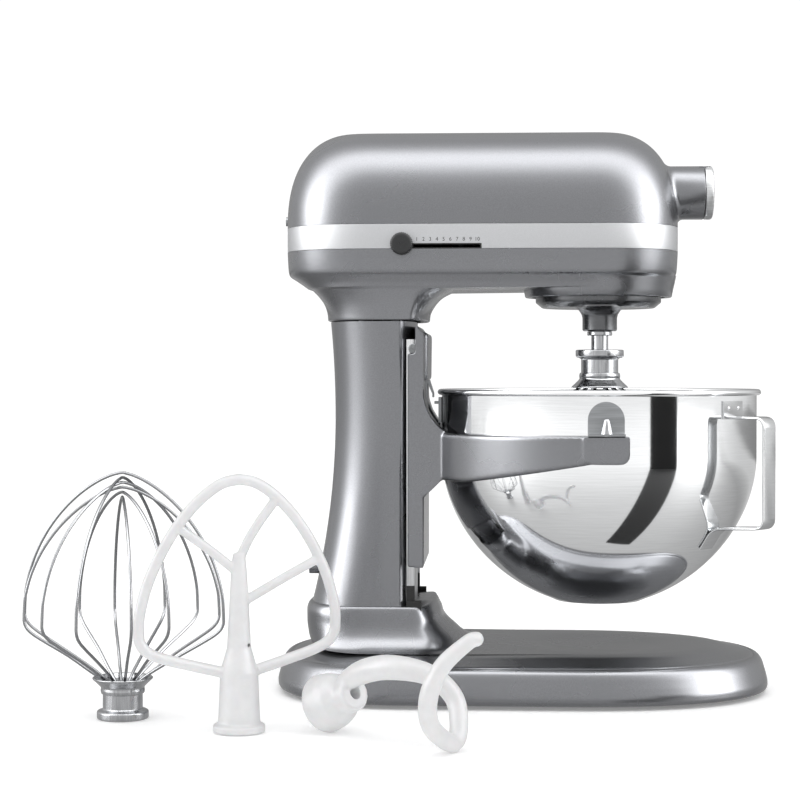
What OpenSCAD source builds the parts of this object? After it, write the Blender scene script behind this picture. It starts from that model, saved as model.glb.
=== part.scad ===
// Bowl-lift stand mixer with its whisk, flat beater and dough hook.
// +X is the front of the mixer, +Z is up, the origin is the middle of the footprint on the worktop.

/* [Base] */
// Length of the base, front to back
base_l = 367.5; // [340:0.5:400]
// Width of the base
base_w = 223; // [200:1:240]
// Height of the flat top of the base
base_h = 34; // [30:1:40]
// Height of the collar that carries the column
collar_h = 66; // [60:1:76]
// Wall of the base casting
base_wall = 6; // [4:0.5:8]
// Depth of the shallow dish under the bowl
dish_depth = 3; // [1:0.5:3.5]

/* [Column] */
// Height of the top of the column
column_top = 276; // [262:1:290]
// Half width of the column
column_w = 52; // [48:1:56]
// Wall of the column casting
column_wall = 6; // [5:0.5:8]
// Front face of the column
column_front = -79; // [-82:0.5:-77]

/* [Head] */
// Rear end of the head
head_rear = -177; // [-184:0.5:-172]
// Front end of the head
head_front = 116.6; // [112:0.2:120]
// Half width of the head
head_w = 61.5; // [58:0.5:66]
// Top of the head
head_top = 418; // [414:1:424]
// Underside of the head
head_under = 300.5; // [298:0.5:303]
// Wall of the head castings
head_wall = 4.5; // [3:0.5:6]
// Lower edge of the trim band
band_z = 327.6; // [325:0.2:330]
// Height of the trim band
band_h = 18.4; // [15:0.2:22]
// Thickness of the trim band
band_t = 1.2; // [0.8:0.1:2]

/* [Drive] */
// Axis of the planetary and of the bowl, along X
drive_x = 57.4; // [54:0.2:60]
// Height of the power hub and bevel gear axis
hub_z = 372.5; // [368:0.5:376]
// Radius of the beater shaft
beater_r = 6.25; // [5:0.25:7]
// Height of the motor axis
motor_z = 358; // [356:0.5:359]
// Outer radius of the motor stator
stator_r = 42; // [38:0.5:44]
// Module of the head gears
gear_m = 1.25; // [1.1:0.05:1.3]
// Radius of the power hub bore
hub_bore_r = 15; // [13:0.5:16]
// Outer radius of the power hub
hub_r = 20.3; // [19.5:0.1:21]

/* [Bowl] */
// Outer radius of the bowl wall
bowl_r = 117.8; // [112:0.2:119]
// Top of the bowl rim
bowl_top = 225.3; // [220:0.5:232]
// Height of the flat bottom of the bowl
bowl_bottom = 66.3; // [62:0.5:72]
// Wall of the bowl
bowl_wall = 1; // [0.8:0.1:1.6]
// Turn of the handle from straight ahead, towards the near side
handle_turn = 38.5; // [20:0.5:60]
// Width of the handle strap
handle_w = 16; // [12:1:24]

/* [Bowl lift] */
// Height that the carriage drops when the bowl is lowered
lift_travel = 24.5; // [18:0.5:26]
// Half of the turn of the lift lever
lever_half_turn = 40; // [36:1:44]
// Radius of the lift shaft
lift_shaft_r = 7; // [6:0.5:8]
// Inner radius of the arms that hold the bowl
arm_r = 122.2; // [121:0.1:124]
// Thickness of the arms
arm_t = 7; // [5:0.5:9]

/* [Speed control] */
// Travel of the speed knob
speed_travel = 54; // [48:1:58]
// Radius of the speed knob
knob_r = 8.25; // [7:0.25:9]

/* [Whisk and tools] */
// Height of a whisk
whisk_h = 170; // [160:1:176]
// Largest radius of a whisk
whisk_r = 76; // [68:1:78]
// Radius of a whisk wire
wire_r = 1.05; // [0.9:0.05:1.3]
// Height of the flat beater
flat_h = 171; // [160:1:185]
// Width of the flat beater
flat_w = 146; // [130:1:150]
// Radius of the dough hook bar
hook_bar_r = 6; // [5:0.25:7]

/* [Clearances] */
// Running clearance of a shaft in its hole
run_gap = 0.05; // [0.02:0.01:0.1]
// Gap between faces that slide past each other
face_gap = 0.3; // [0.2:0.05:0.5]

/* [Hidden] */
$fn = 48;

// Shared places
ring_q = 5;
seam_z = band_z + band_h/2;
band_top = band_z + band_h;
foot_h = 2.5;
column_rear = -158;
column_base = collar_h;
housing_floor = head_under + head_wall;
skirt_r = 55;
skirt_bore_r = 50;
skirt_z = 294;
neck_in = [-140, -76, 44];

// Gear train, seen from the near side
spur_n = 40;
pinion_n = 16;
wheel_n = 32;
bevel_m = 1.5;
bevel_big_n = 32;
bevel_small_n = 16;
bevel_big_r = bevel_m*bevel_big_n/2;
bevel_small_r = bevel_m*bevel_small_n/2;
bevel_face = 0.65;
spur_r = gear_m*spur_n/2;
pinion_r = gear_m*pinion_n/2;
wheel_r = gear_m*wheel_n/2;
worm_r = 7;
worm_pitch = PI*gear_m;
wheel_z = motor_z + wheel_r + worm_r;
wheel_dz = wheel_z - hub_z;
wheel_x = drive_x - sqrt(pow(spur_r + pinion_r, 2) - wheel_dz*wheel_dz);
spur_y = 18;
spur_t = 8;
plate_y = 30;
plate_t = 6;
stub_r = 5;
hub_shaft_r = 9;
motor_shaft_r = 4;
ring_m = 1.5;
ring_n = 48;
planet_n = 16;
beater_off = ring_m*(ring_n - planet_n)/2;
ring_z = 294.9;
ring_t = head_under - ring_z - 0.2;
carrier_r = 47;
carrier_top = 294;
carrier_bottom = 286;
boss_r = 12.8;
boss_bottom = 268.3;
shaft_bottom = 236;
drive_r = 6;
bearing_boss_r = 14;

// Bowl lift
crank_r = lift_travel/2/sin(lever_half_turn);
crank_pin_r = 4;
lift_x = -105;
lift_z = 150;
way_z = [81, 262];
// Foot of the rubber stops, and the height where the lowered carriage meets them
stop_z = [62, 70];
way_y = 46;
way_x = -85;
way_t = 4;
carriage_back = column_front + face_gap;
carriage_front = -72;
carriage_w = 56;
carriage_z = [94.8, 271.7];
arm_z = [159, 193.4];
pin_y = 125.5;
pin_stem_r = 2.5;
pad_r = 16;
pad_h = 20;
arm_slope = 9.6;
yoke_y = [2, 14];
yoke_play = 0.6;
// Height of the crank pin with the bowl raised
pin_z = lift_z + lift_travel/2;
latch_z = 206;
rivet_r = 2;

// Front and rear places of a whisk on the beater shaft
whisk_top = 254.5;
loose_whisk = [-275.5, -152];
flat_place = [-188.5, -201.5];
flat_yaw = 28;
hook_place = [-133.5, -194.5];

// ---------- Helpers ----------
// Outline with straight flanks and rounded ends, seen from above
function oval(xr, xf, w, lr, lf, n, z) = [for (q = [0:3], i = [0:ring_q])
  let (a = (q + i/ring_q)*90, c = abs(cos(a)), s = abs(sin(a)),
       front = (q == 0 || q == 3), near = (q >= 2))
  [front ? xf - lf + lf*pow(c, 2/n) : xr + lr - lr*pow(c, 2/n),
   (near ? -w : w)*pow(s, 2/n), z]];

// Solid through a stack of rings; a hollow stack closes on its first ring
module loft(rings, hollow = false) {
  n = len(rings[0]);
  m = len(rings);
  last = hollow ? m - 1 : m - 2;
  sides = [for (j = [0:last], i = [0:n - 1])
    let (k = (i + 1)%n, up = ((j + 1)%m)*n)
    each [[j*n + i, up + k, j*n + k], [j*n + i, up + i, up + k]]];
  caps = hollow ? [] : [[for (i = [0:n - 1]) i], [for (i = [n - 1:-1:0]) (m - 1)*n + i]];
  polyhedron([for (r = rings) each r], concat(sides, caps));
}

function unit(v) = v/norm(v);

// Rings of a round bar along a path
function bar_rings(path, r, sides, up) = [for (i = [0:len(path) - 1])
  let (a = path[max(i - 1, 0)], b = path[min(i + 1, len(path) - 1)],
       t = unit(b - a), u = unit(cross(up, t)), v = cross(t, u))
  [for (k = [0:sides - 1]) path[i] + r[i]*(cos(k*360/sides)*u + sin(k*360/sides)*v)]];

module bar(path, r, sides, up) loft(bar_rings(path, r, sides, up));

// Gear outline with thin teeth, one tooth centred on +X
module gear_2d(n, m, add = 0.8) {
  pitch = 360/n;
  root = m*n/2 - 1.25*m;
  tip = m*n/2 + add*m;
  polygon([for (i = [0:n - 1]) let (a = i*pitch)
    each [[root*cos(a - 0.27*pitch), root*sin(a - 0.27*pitch)],
          [tip*cos(a - 0.1*pitch), tip*sin(a - 0.1*pitch)],
          [tip*cos(a + 0.1*pitch), tip*sin(a + 0.1*pitch)],
          [root*cos(a + 0.27*pitch), root*sin(a + 0.27*pitch)]]]);
}

// Bevel gear whose pitch cone has its tip at the origin, big end at height far along +Z
module bevel(n, far) {
  mirror([0, 0, 1]) translate([0, 0, -far])
    linear_extrude(height = far*(1 - bevel_face), scale = bevel_face) gear_2d(n, bevel_m, 0.5);
}

module rod(r, l) cylinder(r = r, h = l);
module tube(ro, ri, l) difference() {
  cylinder(r = ro, h = l);
  translate([0, 0, -1]) cylinder(r = ri, h = l + 2);
}
module along_x(x, y, z) translate([x, y, z]) rotate([0, 90, 0]) children();
module along_y(x, y, z) translate([x, y, z]) rotate([-90, 0, 0]) children();
module both_sides() { children(); mirror([0, 1, 0]) children(); }
module block(x, y, z) translate([x[0], y[0], z[0]])
  cube([x[1] - x[0], y[1] - y[0], z[1] - z[0]]);
module hex(r, l) cylinder(r = r, h = l, $fn = 6);

// ---------- Base ----------
function base_ring(in, z) = oval(-base_l/2 + in, base_l/2 - in, base_w/2 - in,
  100 - in, 150 - in, 2.25, z);

column_bolt_x = [-122, -97];
column_bolt_y = 37;
bolt_r = 3;
bolt_boss_r = 9.5;
foot_r = 11;
foot_boss_r = 12;
foot_stem_r = 4;
foot_stem = 14;
foot_pad_h = foot_h + 4;
// Radius of the ball that hollows the dish
dish_r = 520;

module base() color([0.46, 0.46, 0.47]) difference() {
  union() {
    loft([base_ring(3, foot_h), base_ring(0, 8), base_ring(0.3, 14), base_ring(3, 22),
      base_ring(8, 29), base_ring(16, base_h - 1), base_ring(22, base_h),
      oval(-158, -34, 70, 50, 40, 2.4, base_h + 0.4), oval(-160.5, -46, 62, 48, 30, 2.4, 42),
      oval(-162, -57, 57, 46, 24, 2.5, 50), oval(-162, -62, 55.5, 46, 20, 2.6, 60),
      oval(-160, -64, 54, 44, 18, 2.6, collar_h - 1), oval(-159, -65.5, 53, 44, 17, 2.6, collar_h),
      oval(-132, -106, 20, 12, 12, 2.4, collar_h),
      oval(-132, -106, 20, 12, 12, 2.4, collar_h - base_wall),
      oval(-153, -72, 47, 40, 12, 2.6, collar_h - base_wall),
      oval(-154, -68, 49, 40, 16, 2.5, 46),
      oval(-154, -58, 54, 40, 20, 2.4, base_h - base_wall),
      base_ring(30, base_h - base_wall - 0.3), base_ring(13, 25), base_ring(base_wall + 1, 14),
      base_ring(base_wall + 1, foot_h)], hollow = true);
    for (p = foot_places) translate([p[0], p[1], foot_pad_h])
      rod(foot_boss_r, base_h - base_wall - foot_pad_h);
  }
  for (p = foot_places) translate([p[0], p[1], foot_pad_h - 1])
    rod(foot_stem_r + run_gap, foot_stem + 1.2);
  translate([drive_x, 0, base_h + dish_r - dish_depth]) sphere(r = dish_r, $fn = 96);
  for (x = column_bolt_x, s = [-1, 1]) translate([x, s*column_bolt_y, collar_h - base_wall - 1])
    rod(bolt_r + run_gap, base_wall + 2);
}

foot_places = [[-118, 74], [-118, -74], [96, 74], [96, -74], [0, 0]];
module base_feet() color([0.13, 0.13, 0.14]) for (p = foot_places)
  translate([p[0], p[1], 0]) {
    rod(foot_r, foot_pad_h);
    rod(foot_stem_r, foot_pad_h + foot_stem);
  }

// ---------- Column ----------
// Rear edge of the column at height z
waist_z = 205;
waist_x = -140.8;
function column_back(z) = waist_x - 17.2*pow(max(0, (waist_z - z)/139), 2)
  - 5.4*pow(max(0, (z - waist_z)/71), 2);
column_levels = [0, 0.08, 0.2, 0.35, 0.5, 0.66, 0.8, 0.92, 1];
function column_half(z) = column_w - 3.5*sin(180*(z - column_base)/(column_top - column_base));
function column_ring(in, t) = let (z = column_base + t*(column_top - column_base))
  oval(column_back(z) + in, column_front - in, column_half(z) - in, 44 - in, 14 - in, 2.7, z);

module column() color([0.46, 0.46, 0.47]) difference() {
  union() {
    loft(concat([for (t = column_levels) column_ring(0, t)],
      [for (i = [len(column_levels) - 1:-1:0]) column_ring(column_wall, column_levels[i])]),
      hollow = true);
    for (x = column_bolt_x, s = [-1, 1])
      translate([x, s*column_bolt_y, column_base]) rod(bolt_boss_r, bolt_boss_h);
    for (x = neck_bolt_x, s = [-1, 1])
      translate([x, s*column_bolt_y, column_top - 12]) rod(bolt_boss_r, 12);
  }
  both_sides() block([way_x, -60], [way_y, 70], [stop_z[0], column_top + 1]);
  block([-95, -60], [yoke_y[0] - 3, yoke_y[1] + 3], [lift_z - lift_travel - 24, lift_z + 24]);
  along_y(lift_x, 30, lift_z) rod(bushing_r + run_gap, 40);
  along_x(-175, 0, gland_z) rod(gland_r + run_gap, 40);
  for (x = column_bolt_x, s = [-1, 1])
    translate([x, s*column_bolt_y, column_base - 1]) rod(bolt_r, bolt_boss_h - 3);
  for (x = neck_bolt_x, s = [-1, 1])
    translate([x, s*column_bolt_y, column_top - 13]) rod(bolt_r + run_gap, 14);
}
bolt_boss_h = 22;
neck_bolt_x = [-118, -94];
gland_z = 90;
gland_r = 5;
bushing_r = lift_shaft_r + 2.45;

module column_bolts() color([0.55, 0.55, 0.56]) for (s = [-1, 1]) {
  for (x = column_bolt_x) translate([x, s*column_bolt_y, collar_h - base_wall]) {
    translate([0, 0, -bolt_head_h]) hex(bolt_head_r, bolt_head_h);
    rod(bolt_r - run_gap, base_wall + 17);
  }
  for (x = neck_bolt_x) translate([x, s*column_bolt_y, column_top - 12]) {
    translate([0, 0, -bolt_head_h]) hex(bolt_head_r, bolt_head_h);
    rod(bolt_r - run_gap, 26);
  }
}
bolt_head_r = 5;
bolt_head_h = 4;

module slide_ways() color([0.75, 0.75, 0.76]) both_sides()
  block([way_x + 0.1, column_front], [way_y + 0.1, way_y + way_t], way_z);

// Rubber strip under each way, with a pad that the lowered carriage meets
module way_stops() color([0.1, 0.1, 0.1]) both_sides() {
  block([way_x + 0.1, column_front + 5], [way_y + 0.1, way_y + 7], stop_z);
  block([way_x + 0.1, column_front], [way_y + 0.1, way_y + way_t], [stop_z[0], way_z[0]]);
}

// ---------- Head ----------
function head_ring(in, z) = oval(head_rear + in, head_front - in, head_w - in, 70 - in, 66 - in, 2.3, z);
// Ring of the domed top; a is 0 at the band and 90 at the crown
function dome_ring(in, a) = let (c = pow(cos(a), 2/2.4), e = 12 + 55*c)
  oval(head_rear + in + 55*(1 - c), head_front - in - 55*(1 - c), (head_w - in)*pow(cos(a), 2/2.15),
    e + 3, e, 2.3, band_top + (head_top - in - band_top)*pow(sin(a), 2/2.35));
dome_steps = [0, 14, 28, 40, 52, 63, 73, 81, 87];

module head_cover() color([0.47, 0.47, 0.48]) difference() {
  loft(concat(
    [for (i = [len(dome_steps) - 1:-1:0]) dome_ring(head_wall, dome_steps[i])],
    [head_ring(head_wall, seam_z), head_ring(band_t + 0.1, seam_z), head_ring(band_t + 0.1, band_top)],
    [for (a = dome_steps) dome_ring(0, a)]));
  along_x(60, 0, hub_z) rod(hub_r + 0.1, 80);
  along_y(knob_boss_x, 10, hub_z) rod(boss_side_r + 0.1, 40);
  along_x(head_rear - 2, 0, screw_z) rod(screw_r + run_gap, 12);
}

module gear_housing() color([0.46, 0.46, 0.47]) difference() {
  union() {
    loft([oval(-146.25, -69.8, 52.5, 44, 16, 2.7, column_top),
      oval(-146.6, -69.2, 52.6, 44, 16, 2.7, 281),
      oval(-148.5, -66, 53, 44, 18, 2.7, 287.5), oval(-153, -60, 54, 46, 22, 2.6, 295),
      oval(-159, -50, 55, 48, 26, 2.5, head_under - 0.2),
      oval(-164, 102, 55.5, 58, 58, 2.4, head_under),
      head_ring(7, 303.5), head_ring(3.5, 307.5), head_ring(1.3, 312), head_ring(0, band_z),
      head_ring(band_t + 0.1, band_z), head_ring(band_t + 0.1, seam_z), head_ring(head_wall, seam_z),
      head_ring(head_wall + 1, 312), head_ring(head_wall + 4.5, housing_floor),
      oval(neck_in[0], neck_in[1], neck_in[2], 34, 12, 2.6, housing_floor),
      oval(neck_in[0], neck_in[1], neck_in[2], 34, 12, 2.6, column_top)], hollow = true);
    translate([drive_x, 0, skirt_z]) tube(skirt_r, skirt_bore_r, housing_floor - skirt_z - 1);
    translate([drive_x, 0, housing_floor - 3]) rod(bearing_boss_r, 15);
    for (x = neck_bolt_x, s = [-1, 1]) translate([x, s*column_bolt_y, column_top]) rod(bolt_boss_r, 16);
  }
  translate([drive_x, 0, skirt_z]) rod(drive_r + 4 + run_gap, 40);
  block([speed_x - 4, speed_x + speed_travel + 4], [-70, -50], [band_z, speed_slot_top]);
  for (x = neck_bolt_x, s = [-1, 1])
    translate([x, s*column_bolt_y, column_top - 1]) rod(bolt_r, 15.5);
}

module trim_band() color([0.72, 0.72, 0.73]) difference() {
  loft([head_ring(band_t, band_z + 0.1), head_ring(0, band_z + 0.1), head_ring(0, band_top - 0.1),
    head_ring(band_t, band_top - 0.1)], hollow = true);
  block([speed_x - 4, speed_x + speed_travel + 4], [-70, -50], [band_z - 1, speed_slot_top]);
}

// Rear screw that holds the cover
module head_screws() color([0.6, 0.6, 0.6]) along_x(head_rear - 1.6, 0, screw_z) {
  rod(3.4, 1.8);
  rod(screw_r, 11);
}
screw_z = 352;
screw_r = 2;

// ---------- Speed control ----------
speed_x = -87.8;
speed_z = 331;
speed_slot_top = band_z + 4;
slot_mid = band_z + 2;
stem_r = 1.1;
module slot_liner() color([0.05, 0.05, 0.05]) difference() {
  block([speed_x - 3.9, speed_x + speed_travel + 3.9], [-head_w + 0.1, -head_w + 5],
    [band_z + 0.1, speed_slot_top - 0.1]);
  block([speed_x - 3, speed_x + speed_travel + 3], [-70, -50],
    [slot_mid - stem_r - 0.1, slot_mid + stem_r + 0.1]);
}
module speed_knob() color([0.1, 0.1, 0.1]) {
  along_y(speed_x, -head_w - 9.5, speed_z) rod(knob_r, 9);
  along_y(speed_x, -head_w - 0.6, slot_mid) rod(stem_r, 7);
}
module speed_slider() color([0.65, 0.65, 0.65]) {
  along_y(speed_x, -head_w + 6.4, slot_mid) rod(stem_r, 4);
  block([speed_x - 2, speed_x + 8], [-head_w + 8, -head_w + 10], [housing_floor + 6, slot_mid + 4]);
}
module control_board() color([0.1, 0.35, 0.2]) {
  block([-38, 6], [42, 43.6], [housing_floor, 346]);
  block([-30, -6], [36, 42], [312, 336]);
}
module cord_gland() color([0.08, 0.08, 0.08]) along_x(-161, 0, gland_z) rod(gland_r, 18);

// ---------- Power hub ----------
hub_front = 136;
hub_rear = 92;
hub_depth = 32;
knob_boss_x = 120;
knob_stem_r = 4;
cap_pin_r = 0.8;
boss_side_r = 7;
cap_hinge = [139, 390.6];
cap_end = 142.5;
module hub_barrel() color([0.47, 0.47, 0.48]) difference() {
  union() {
    along_x(hub_rear, 0, hub_z) rod(hub_r, hub_front - hub_rear);
    along_y(knob_boss_x, 10, hub_z) rod(boss_side_r, 15);
    both_sides() block([hub_front - 4, cap_hinge[0] + 1.6], [5, 7],
      [cap_hinge[1] - 2.4, cap_hinge[1] + 1.2]);
  }
  along_x(hub_front - hub_depth, 0, hub_z) rod(hub_bore_r, 60);
  along_x(hub_rear - 1, 0, hub_z) rod(hub_shaft_r + run_gap, 20);
  along_y(knob_boss_x, 10, hub_z) rod(knob_stem_r + run_gap, 20);
  along_y(cap_hinge[0], -10, cap_hinge[1]) rod(cap_pin_r + run_gap, 20);
}
module hub_cap() color([0.8, 0.8, 0.81]) {
  difference() {
    along_x(hub_front + face_gap, 0, hub_z) rod(hub_r, cap_end - hub_front - face_gap);
    block([hub_front - 1, hub_front + 1.4], [-30, 30], [cap_hinge[1] - 0.6, 400]);
    both_sides() block([hub_front - 1, cap_hinge[0] + 2.2], [4.7, 7.3], [cap_hinge[1] - 5.4, 400]);
  }
  along_y(cap_hinge[0], -8, cap_hinge[1]) rod(cap_pin_r, 16);
}
module attachment_knob() color([0.08, 0.08, 0.08]) {
  along_y(knob_boss_x, 25 + face_gap, hub_z) rod(9, 17);
  along_y(knob_boss_x, hub_bore_r + 0.4, hub_z) rod(knob_stem_r, 12);
}

// ---------- Motor ----------
module motor_cradle() color([0.5, 0.5, 0.52]) difference() {
  both_sides() block([-156, -46], [16, 30], [housing_floor, 335]);
  along_x(-170, 0, motor_z) rod(stator_r + 0.05, 140);
}
module stator_core() color([0.35, 0.35, 0.37]) along_x(-120, 0, motor_z) tube(stator_r, 30, 60);
module field_coils() color([0.72, 0.4, 0.2]) {
  along_x(-128, 0, motor_z) tube(38, 27, 8);
  along_x(-60, 0, motor_z) tube(38, 27, 8);
}
bearing_r = 8;
end_frame_x = [-150, -47];
end_frame_t = 5;
module motor_end_frames() color([0.55, 0.55, 0.56]) for (x = end_frame_x) difference() {
  along_x(x, 0, motor_z) rod(stator_r - 0.2, end_frame_t);
  along_x(x - 1, 0, motor_z) rod(bearing_r + run_gap, 8);
}
module motor_bearings() color([0.7, 0.7, 0.7]) for (x = end_frame_x)
  along_x(x, 0, motor_z) tube(bearing_r, motor_shaft_r + run_gap, end_frame_t);
armature_x = -156;
module armature_shaft() color([0.7, 0.7, 0.72]) {
  along_x(armature_x, 0, motor_z) rod(motor_shaft_r, wheel_x + 20 - armature_x);
  along_x(wheel_x, 0, motor_z) rotate([0, 0, 180])
    linear_extrude(height = 4*worm_pitch, center = true, twist = -4*360, slices = 56)
      polygon([for (a = [-180:20:179]) let (b = abs(a), r = b < 45 ? worm_r + 1 : b < 85 ? 6.3 : 5.5)
        [r*cos(a), r*sin(a)]]);
}
module armature_core() color([0.4, 0.38, 0.36]) along_x(-118, 0, motor_z) tube(26, motor_shaft_r, 56);
module commutator() color([0.75, 0.45, 0.25]) along_x(-140, 0, motor_z) tube(11, motor_shaft_r, 14);
module cooling_fan() color([0.9, 0.9, 0.88]) along_x(-40, 0, motor_z) {
  tube(9, motor_shaft_r, 10);
  for (i = [0:8]) rotate([0, 0, 40*i]) translate([8.5, -0.8, 0]) cube([21, 1.6, 9]);
  tube(31, 28, 2);
}
module brush_holders() color([0.3, 0.25, 0.2]) both_sides()
  block([-145, -130], [11.3, 26], [motor_z - 5, motor_z + 5]);

// ---------- Transmission ----------
module transmission_bracket() color([0.52, 0.52, 0.54]) difference() {
  union() {
    block([10, 78], [18, 36], [housing_floor, housing_floor + 5]);
    block([wheel_x - 8, drive_x + 9], [plate_y, plate_y + plate_t], [housing_floor, 396]);
    block([35, 40], [-9, 7], [housing_floor, motor_z + 6.5]);
    block([35, 74], [-10, 10], [325, 333]);
    block([35, 74], [7, 18.5], [housing_floor, housing_floor + 5]);
    block([68, 74], [9, 36], [housing_floor, 333]);
    block([68, 74], [-10, 10], [310, 333]);
  }
  translate([drive_x, 0, housing_floor - 1]) rod(bearing_boss_r + 0.2, 16);
  translate([drive_x, 0, 300]) rod(drive_r + run_gap, 60);
  along_x(30, 0, motor_z) rod(motor_shaft_r + run_gap, 20);
  along_y(wheel_x, plate_y - 1, wheel_z) rod(stub_r + run_gap, 20);
  along_y(drive_x, plate_y - 1, hub_z) rod(stub_r + run_gap, 20);
}
spur_dir = atan2(wheel_dz, wheel_x - drive_x);
module worm_wheel() color([0.75, 0.6, 0.3]) {
  along_y(wheel_x, -3, wheel_z) linear_extrude(height = 6)
    rotate(90 + 180/wheel_n) gear_2d(wheel_n, gear_m);
  along_y(wheel_x, 3, wheel_z) rod(6, spur_y - 3);
  along_y(wheel_x, spur_y, wheel_z) linear_extrude(height = spur_t)
    rotate(-spur_dir + 180) gear_2d(pinion_n, gear_m);
  along_y(wheel_x, spur_y + spur_t, wheel_z) rod(stub_r, 12);
}
module centre_gear() color([0.6, 0.6, 0.62]) {
  far = bevel_small_r;
  along_y(drive_x, 0, hub_z) rotate(180/bevel_big_n) bevel(bevel_big_n, far);
  along_y(drive_x, far, hub_z) rod(12, spur_y - far);
  along_y(drive_x, spur_y, hub_z) linear_extrude(height = spur_t)
    rotate(-spur_dir + 180/spur_n) gear_2d(spur_n, gear_m);
  along_y(drive_x, spur_y + spur_t, hub_z) rod(stub_r, 12);
}
module hub_socket() color([0.65, 0.65, 0.67]) difference() {
  union() {
    along_x(drive_x, 0, hub_z) rotate(90) bevel(bevel_small_n, bevel_big_r);
    along_x(drive_x + bevel_big_r, 0, hub_z) rod(hub_shaft_r, 103 - drive_x - bevel_big_r);
  }
  block([88, 110], [-4.1, 4.1], [hub_z - 4.1, hub_z + 4.1]);
}
module drive_shaft() color([0.65, 0.65, 0.67]) {
  translate([drive_x, 0, hub_z]) mirror([0, 0, 1]) rotate(90) bevel(bevel_small_n, bevel_big_r);
  translate([drive_x, 0, carrier_bottom]) rod(drive_r, hub_z - bevel_big_r - carrier_bottom);
}
module ring_gear() color([0.4, 0.4, 0.42]) translate([drive_x, 0, ring_z]) difference() {
  rod(skirt_bore_r - 0.2, ring_t);
  translate([0, 0, -1]) linear_extrude(height = ring_t + 2) rotate(-90) ring_hole_2d();
}
// Hole of the ring gear, with thin teeth pointing inwards
module ring_hole_2d() {
  pitch = 360/ring_n;
  r = ring_m*ring_n/2;
  root = r + 1.27*ring_m;
  tip = r - 0.8*ring_m;
  polygon([for (i = [0:ring_n - 1]) let (a = i*pitch)
    each [[root*cos(a - 0.27*pitch), root*sin(a - 0.27*pitch)],
          [root*cos(a + 0.27*pitch), root*sin(a + 0.27*pitch)],
          [tip*cos(a + 0.38*pitch), tip*sin(a + 0.38*pitch)],
          [tip*cos(a + 0.62*pitch), tip*sin(a + 0.62*pitch)]]]);
}
module planetary_carrier() color([0.3, 0.3, 0.31]) difference() {
  union() {
    translate([drive_x, 0, 0]) rotate_extrude($fn = 96)
      polygon([[0, carrier_bottom], [carrier_r - 5, carrier_bottom],
        [carrier_r, carrier_bottom + 4], [carrier_r, carrier_top], [0, carrier_top]]);
    translate([drive_x, 0, carrier_top]) rod(9.5, 10);
    translate([drive_x, -beater_off, 0]) rotate_extrude()
      polygon([[0, boss_bottom], [boss_r - 1, boss_bottom], [boss_r, boss_bottom + 1.5],
        [boss_r, 279], [boss_r + 2, 283], [boss_r + 6, carrier_bottom + 1], [0, carrier_bottom + 1]]);
  }
  translate([drive_x, -beater_off, 240]) rod(beater_r + run_gap, 80);
  translate([drive_x, 0, 280]) rod(drive_r, 80);
}
module beater_shaft() color([0.8, 0.8, 0.81]) difference() {
  union() {
    translate([drive_x, -beater_off, shaft_bottom]) rod(beater_r, ring_z + ring_t - shaft_bottom);
    translate([drive_x, -beater_off, boss_bottom - 3.3]) rod(9.2, 3);
  }
  along_y(drive_x, -beater_off - 20, shaft_bottom + 7) rod(bayonet_r, 40);
}
bayonet_r = 2;
module bayonet_pin() color([0.7, 0.7, 0.7])
  along_y(drive_x, -beater_off - 10.5, shaft_bottom + 7) rod(bayonet_r - 0.03, 21);
module beater_pinion() color([0.55, 0.55, 0.57]) translate([drive_x, -beater_off, ring_z]) difference() {
  linear_extrude(height = ring_t) rotate(-90) gear_2d(planet_n, ring_m);
  translate([0, 0, -1]) rod(beater_r, ring_t + 2);
}

// ---------- Carriage and bowl ----------
module carriage() color([0.46, 0.46, 0.47]) difference() {
  union() {
    block([carriage_back, carriage_front], [-carriage_w, carriage_w], carriage_z);
    both_sides() block([-84, carriage_back + 1], [way_y + way_t + face_gap, carriage_w],
      [carriage_z[0], way_z[1] - 5]);
    // Arms round the bowl
    intersection() {
      translate([drive_x, 0, arm_z[0]]) tube(arm_r + arm_t, arm_r, arm_z[1] - arm_z[0]);
      block([-100, drive_x], [-140, 140], [100, 220]);
    }
    both_sides() block([drive_x - pad_r, drive_x + pad_r], [arm_r + 0.3, arm_r + arm_t],
      [arm_z[1] - pad_h, arm_z[1]]);
    // Webs from the arms to the slide
    both_sides() block([carriage_front - 1, carriage_front + 14], [30, carriage_w],
      [arm_z[0] - 8, arm_z[1] + 4]);
    block([-132, carriage_back + 1], yoke_y, [pin_z - 9, pin_z + 9]);
  }
  translate([drive_x, 0, 100]) rod(arm_r, 140);
  // Slope under the arms, and the sloped top of the slide
  both_sides() translate([-40, 60, arm_z[0] - 20]) rotate([0, -arm_slope, 0]) cube([160, 100, 20]);
  along_y(0, -70, 0) linear_extrude(height = 140) polygon([[carriage_front - 4, -carriage_z[1] - 1],
    [carriage_front + 1, -carriage_z[1] - 1], [carriage_front + 1, -carriage_z[1] + 6]]);
  // Slot for the crank pin
  block([lift_x - crank_r - crank_pin_r - 0.8,
      lift_x - crank_r*cos(lever_half_turn) + crank_pin_r + 0.8],
    [0, 20], [pin_z - crank_pin_r - yoke_play, pin_z + crank_pin_r + yoke_play]);
  both_sides() translate([drive_x, pin_y, arm_z[1] - 9]) rod(pin_stem_r, 20);
  along_x(carriage_front - 8, 0, latch_z) rod(rivet_r, 20);
}
module locating_pins() color([0.75, 0.75, 0.76]) both_sides()
  translate([drive_x, pin_y, arm_z[1] - 8]) {
    rod(pin_stem_r, 8);
    translate([0, 0, 8]) cylinder(r1 = 4.15, r2 = 1.8, h = 12);
  }
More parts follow.
